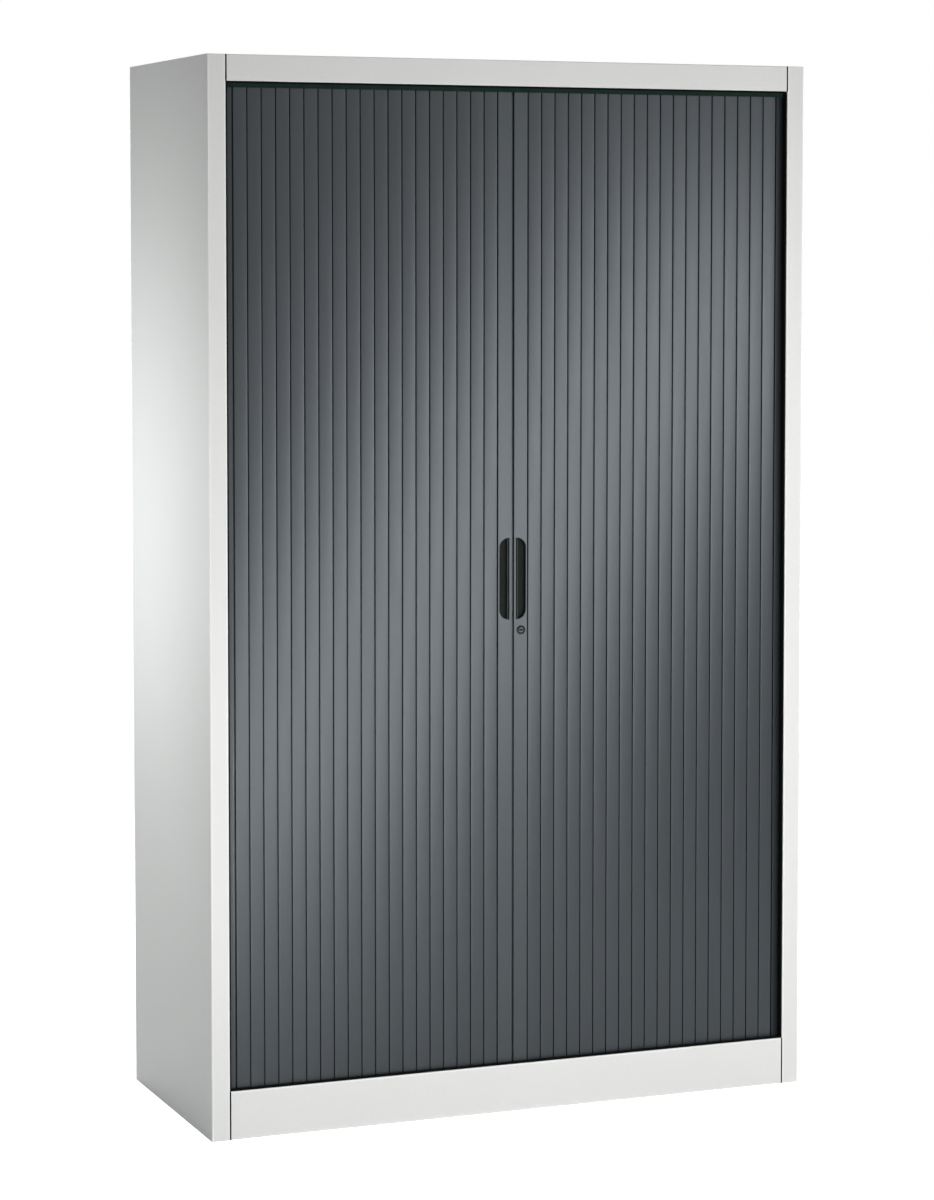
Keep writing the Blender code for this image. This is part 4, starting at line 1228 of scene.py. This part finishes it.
class CABINET_OT_finger_pulls(bpy.types.Operator):
    """Makes the two finger pulls with their rims, hollows and upright lips"""

    bl_idname = "cabinet.finger_pulls"
    bl_label = "Finger pulls"
    bl_options = {"REGISTER", "UNDO"}

    def execute(self, context):
        hardware = context.scene.cabinet_hardware
        front = BAR_LOW.y
        floor = front + hardware.cup_depth
        proud = hardware.pull_proud
        rim = hardware.pull_rim
        depths = [(0.0, PULL_HIGH.y), (0.0, front)]
        depths += [(rim * inset, front - proud * over) for inset, over in RIM_SHARES]
        depths += [(rim * inset, floor - rim * over) for inset, over in HOLLOW_SHARES]
        rings = [(pull_outline(inset, hardware), depth) for inset, depth in depths]
        near = PULL_LOW.x + hardware.lip_inset
        far = near + hardware.lip_width
        root, top = floor + rim / 2, front + proud
        edge = hardware.lip_width * LIP_ROUND_SHARE
        outline = rounded([(near, root), (near, top), (far, top), (far, root)], edge, LIP_STEPS, edge / 7)
        for name, side in SIDES.items():
            cup = loft(f"{name}_pull_cup", rings, side)
            dress(cup, "black", f"{name}_shutter", f"{name}_finger_pull")
            lip = prism(f"{name}_pull_lip", outline, PULL_LOW.z + rim, PULL_HIGH.z - rim, "Z", side)
            dress(lip, "lip", f"{name}_shutter", slot="black")
        return {"FINISHED"}


class CABINET_OT_lock(bpy.types.Operator):
    """Makes the lock's ring, plug, hook and strike"""

    bl_idname = "cabinet.lock"
    bl_label = "Lock"
    bl_options = {"REGISTER", "UNDO"}

    def execute(self, context):
        hardware = context.scene.cabinet_hardware
        bore = (PLUG_HIGH.x - PLUG_LOW.x) / 2
        small = hardware.ring_round
        self.make_ring(hardware, bore)
        self.make_plug(hardware, bore)
        tall = hardware.keyway_width / 2
        tang = self.key_block("lock_tang", tall, tall, BARREL_HIGH.y - OVERRUN, HOOK_HIGH.y)
        dress(tang, "zinc", "lock_cylinder")
        soften("lock_hook_plate", "lock_hook", "zinc", "lock_cylinder", small / 3)
        soften("lock_strike_plate", "lock_strike", "zinc", "left_shutter", small / 3)
        return {"FINISHED"}

    def make_ring(self, hardware, bore):
        """The barrel with its rounded ring before the bar."""
        small = hardware.ring_round
        radius = (BARREL_HIGH.x - BARREL_LOW.x) / 2
        level = BARREL_LOW.y + small
        hole = bore + small / 3
        body = radius - small * 2
        seat = BAR_LOW.y - small / 10
        inner = arc((hole + small, level), small, -2 * QUARTER, -QUARTER, RING_INNER_STEPS)
        outer = arc((radius - small, level), small, -QUARTER, 0, RING_OUTER_STEPS)
        profile = [(hole, BARREL_HIGH.y), *inner, *outer]
        profile += [(radius, seat), (body, seat), (body, BARREL_HIGH.y)]
        points = [(LOCK_AXIS.x + reach, y, LOCK_AXIS.z) for reach, y in profile]
        ring = spun("lock_ring", points, LOCK_AXIS, (0, 1, 0), hardware.round_steps)
        dress(ring, "chrome", "right_shutter", "lock_barrel")

    def make_plug(self, hardware, bore):
        """The turning core with its keyway, and a near-black well in that which paints the keyway's shade."""
        centre = (LOCK_AXIS.x, LOCK_AXIS.z)
        bevel = bore / 12
        face = PLUG_LOW.y + hardware.ring_round
        outer = circle(centre, bore, hardware.round_steps)
        edge = circle(centre, bore - bevel, hardware.round_steps)
        plug = loft("lock_core", [(outer, BARREL_HIGH.y), (outer, face + bevel), (edge, face)])
        wide, tall = hardware.keyway_length / 2, hardware.keyway_width / 2
        bottom = face + hardware.keyway_depth
        slot = self.key_block("lock_keyway", wide, tall, PLUG_LOW.y - OVERRUN, bottom)
        combine(plug, [slot], "DIFFERENCE")
        dress(plug, "core", "lock_cylinder", "lock_plug", slot="chrome")
        fit = hardware.ring_round / 30
        front = face + hardware.ring_round
        well = self.key_block("lock_keyway_well", wide - fit, tall - fit, front, bottom - fit)
        dress(well, "shade_lining", "lock_cylinder", slot="track")

    def key_block(self, name, wide, tall, front, back):
        """A block round the lock's axis, of these half sizes."""
        near = (LOCK_AXIS.x - wide, front, LOCK_AXIS.z - tall)
        return block(name, near, (LOCK_AXIS.x + wide, back, LOCK_AXIS.z + tall))


class CABINET_OT_shelf_clips(bpy.types.Operator):
    """Rounds the edges of the sixteen shelf clips"""

    bl_idname = "cabinet.shelf_clips"
    bl_label = "Shelf clips"
    bl_options = {"REGISTER", "UNDO"}

    def execute(self, context):
        width = context.scene.cabinet_sheets.edge_round
        for number in SHELVES:
            for row in ROWS:
                for name in SIDES:
                    node = f"shelf_{number}_{row}_{name}_clip"
                    soften(f"{node}_plate", node, "zinc", "root", width)
        return {"FINISHED"}


class CABINET_OT_feet(bpy.types.Operator):
    """Makes the four threaded feet and rounds their brackets"""

    bl_idname = "cabinet.feet"
    bl_label = "Levelling feet"
    bl_options = {"REGISTER", "UNDO"}

    def execute(self, context):
        width = context.scene.cabinet_sheets.edge_round * 2
        hardware = context.scene.cabinet_hardware
        for row in ROWS:
            for name in SIDES:
                corner = f"{row}_{name}"
                low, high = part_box(f"{corner}_foot")
                middle = (low + high) / 2
                soften(f"{corner}_bracket", f"{corner}_foot_bracket", "zinc", "root", width)
                profile = self.foot_profile(hardware.thread_pitch, (high.x - low.x) / 2, low.z, high.z)
                ring = [(middle.x + reach, middle.y, z) for reach, z in profile]
                steps = hardware.round_steps // 2
                foot = spun(f"{corner}_threaded_foot", ring, middle, (0, 0, 1), steps)
                dress(foot, "rubber", f"{corner}_foot_body", f"{corner}_foot")
        return {"FINISHED"}

    def foot_profile(self, pitch, radius, bottom, top):
        """Half a foot as (reach, height) points: the pad, the thread and the socket in the stem's top."""
        pad = bottom + radius * PAD_HEIGHT_SHARE
        stem = radius * STEM_SHARE
        root = stem - pitch / 2
        points = [(radius * reach, bottom + radius * over) for reach, over in PAD_LOW_SHARES]
        points += [(radius * reach, pad - radius * under) for reach, under in PAD_TOP_SHARES]
        points.append((stem, pad))
        begin, end, crest = THREAD_SHARES
        for turn in range(int((top - pad) / pitch) - 1):
            base = pad + turn * pitch
            points += [(root, base + pitch * begin), (root, base + pitch * end), (stem, base + pitch * crest)]
        socket = stem * SOCKET_SHARE
        return [*points, (root, top), (socket, top), (socket, top - stem), (0, top - stem), (0, bottom)]


class CABINET_OT_stage(bpy.types.Operator):
    """Sets the floor, the background, the lamps and the camera"""

    bl_idname = "cabinet.stage"
    bl_label = "Stage"
    bl_options = {"REGISTER", "UNDO"}

    def execute(self, context):
        scene = context.scene
        stage = scene.cabinet_stage
        scene.view_settings.view_transform = "Standard"
        self.make_floor(stage)
        self.make_background(scene, stage)
        for lamp in LAMPS:
            self.make_lamp(*lamp)
        self.make_camera(scene, stage)
        return {"FINISHED"}

    def background_rays(self, tree, gloss):
        """One for rays from the camera or through a clear surface, and the gloss share for glossy rays."""
        path = tree.nodes.new("ShaderNodeLightPath").outputs
        glossy = maths(tree, "MULTIPLY", path["Is Glossy Ray"], gloss)
        seen = maths(tree, "MAXIMUM", path["Is Camera Ray"], glossy)
        return maths(tree, "MAXIMUM", seen, path["Is Transmission Ray"])

    def make_floor(self, stage):
        """A floor that shines for the camera and only in part in glossy surfaces."""
        bm = bmesh.new()
        reach = stage.floor_reach
        square = ((-reach, -reach), (reach, -reach), (reach, reach), (-reach, reach))
        bm.faces.new([bm.verts.new((x, y, 0)) for x, y in square])
        floor = piece_from("stage_floor", bm)
        material = bpy.data.materials.new("Pale floor")
        material.use_nodes = True
        tree = material.node_tree
        shader = tree.nodes["Principled BSDF"]
        shader.inputs["Roughness"].default_value = 0.9
        shader.inputs["Specular IOR Level"].default_value = 0.1
        shader.inputs["Emission Strength"].default_value = 1.0
        vector = tree.nodes.new("ShaderNodeTexCoord").outputs["Object"]
        tone = spread(tree, noise(tree, vector, FLOOR_CLOUD_SCALE, detail=3.0), low=0.98, high=1.0)
        paint = add_node(tree, "ShaderNodeRGB")
        paint.outputs[0].default_value = rgba(stage.floor)
        tree.links.new(scaled(tree, paint.outputs[0], tone), shader.inputs["Base Color"])
        lift = maths(tree, "MULTIPLY", self.background_rays(tree, stage.floor_gloss), stage.floor_lift)
        tree.links.new(lift, shader.inputs["Emission Color"])
        material.cycles.emission_sampling = "NONE"
        floor.data.materials.append(material)

    def make_background(self, scene, stage):
        """White for the camera, and a faint light from all round for the rest."""
        world = bpy.data.worlds.new("Background")
        scene.world = world
        world.use_nodes = True
        tree = world.node_tree
        shader = tree.nodes["Background"]
        shader.inputs["Color"].default_value = (1, 1, 1, 1)
        values = {"Value": self.background_rays(tree, 1.0), "To Min": stage.ambient, "To Max": stage.sky}
        strength = add_node(tree, "ShaderNodeMapRange", values).outputs["Result"]
        tree.links.new(strength, shader.inputs["Strength"])

    def make_lamp(self, name, place, aim, width, height, roll, power, tint):
        """A rectangular lamp that the camera doesn't see."""
        light = bpy.data.lights.new(name, "AREA")
        light.shape = "RECTANGLE"
        light.size = width
        light.size_y = height
        light.energy = power
        light.color = tint
        lamp = bpy.data.objects.new(name, light)
        bpy.context.scene.collection.objects.link(lamp)
        lamp.location = place
        turn = (Vector(aim) - Vector(place)).to_track_quat("-Z", "Y")
        lamp.rotation_euler = (turn @ Quaternion((0, 0, 1), math.radians(roll))).to_euler()
        lamp.visible_camera = False

    def make_camera(self, scene, stage):
        """The camera that shows the cabinet as the photo does."""
        camera = bpy.data.cameras.new("photo_camera")
        camera.lens = stage.lens
        camera.shift_y = stage.shift
        holder = bpy.data.objects.new("photo_camera", camera)
        scene.collection.objects.link(holder)
        holder.location = stage.place
        holder.rotation_euler = (QUARTER - stage.tilt, 0, -stage.turn)
        scene.camera = holder


class CABINET_PT_pieces(bpy.types.Panel):
    """Lists the settings and the steps of the cabinet"""

    bl_idname = "CABINET_PT_pieces"
    bl_label = "Tambour Cabinet"
    bl_space_type = "VIEW_3D"
    bl_region_type = "UI"
    bl_category = "Cabinet"

    def draw(self, context):
        for name, kind in SETTINGS.items():
            column = self.layout.column(align=True)
            column.label(text=kind.__doc__)
            settings = getattr(context.scene, name)
            for key in kind.__annotations__:
                column.prop(settings, key)
        steps = self.layout.column(align=True)
        for step in STEPS:
            steps.operator(step.bl_idname)


SETTINGS = {
    "cabinet_sheets": CabinetSheets,
    "cabinet_shutters": CabinetShutters,
    "cabinet_hardware": CabinetHardware,
    "cabinet_finishes": CabinetFinishes,
    "cabinet_stage": CabinetStage,
}
STEPS = (
    CABINET_OT_finishes,
    CABINET_OT_side_sheets,
    CABINET_OT_top_sheet,
    CABINET_OT_plinth_sheet,
    CABINET_OT_seals,
    CABINET_OT_inner_sheets,
    CABINET_OT_rivets,
    CABINET_OT_tracks,
    CABINET_OT_slats,
    CABINET_OT_lead_bars,
    CABINET_OT_finger_pulls,
    CABINET_OT_lock,
    CABINET_OT_shelf_clips,
    CABINET_OT_feet,
    CABINET_OT_stage,
)
CLASSES = (*SETTINGS.values(), *STEPS, CABINET_PT_pieces)


def register():
    for kind in CLASSES:
        bpy.utils.register_class(kind)
    for name, kind in SETTINGS.items():
        setattr(bpy.types.Scene, name, PointerProperty(type=kind))


def unregister():
    for name in SETTINGS:
        delattr(bpy.types.Scene, name)
    for kind in reversed(CLASSES):
        bpy.utils.unregister_class(kind)


def main():
    """Registers the add-on and makes every piece in order."""
    register()
    for step in STEPS:
        group, action = step.bl_idname.split(".")
        getattr(getattr(bpy.ops, group), action)()


if __name__ == "__main__":
    main()
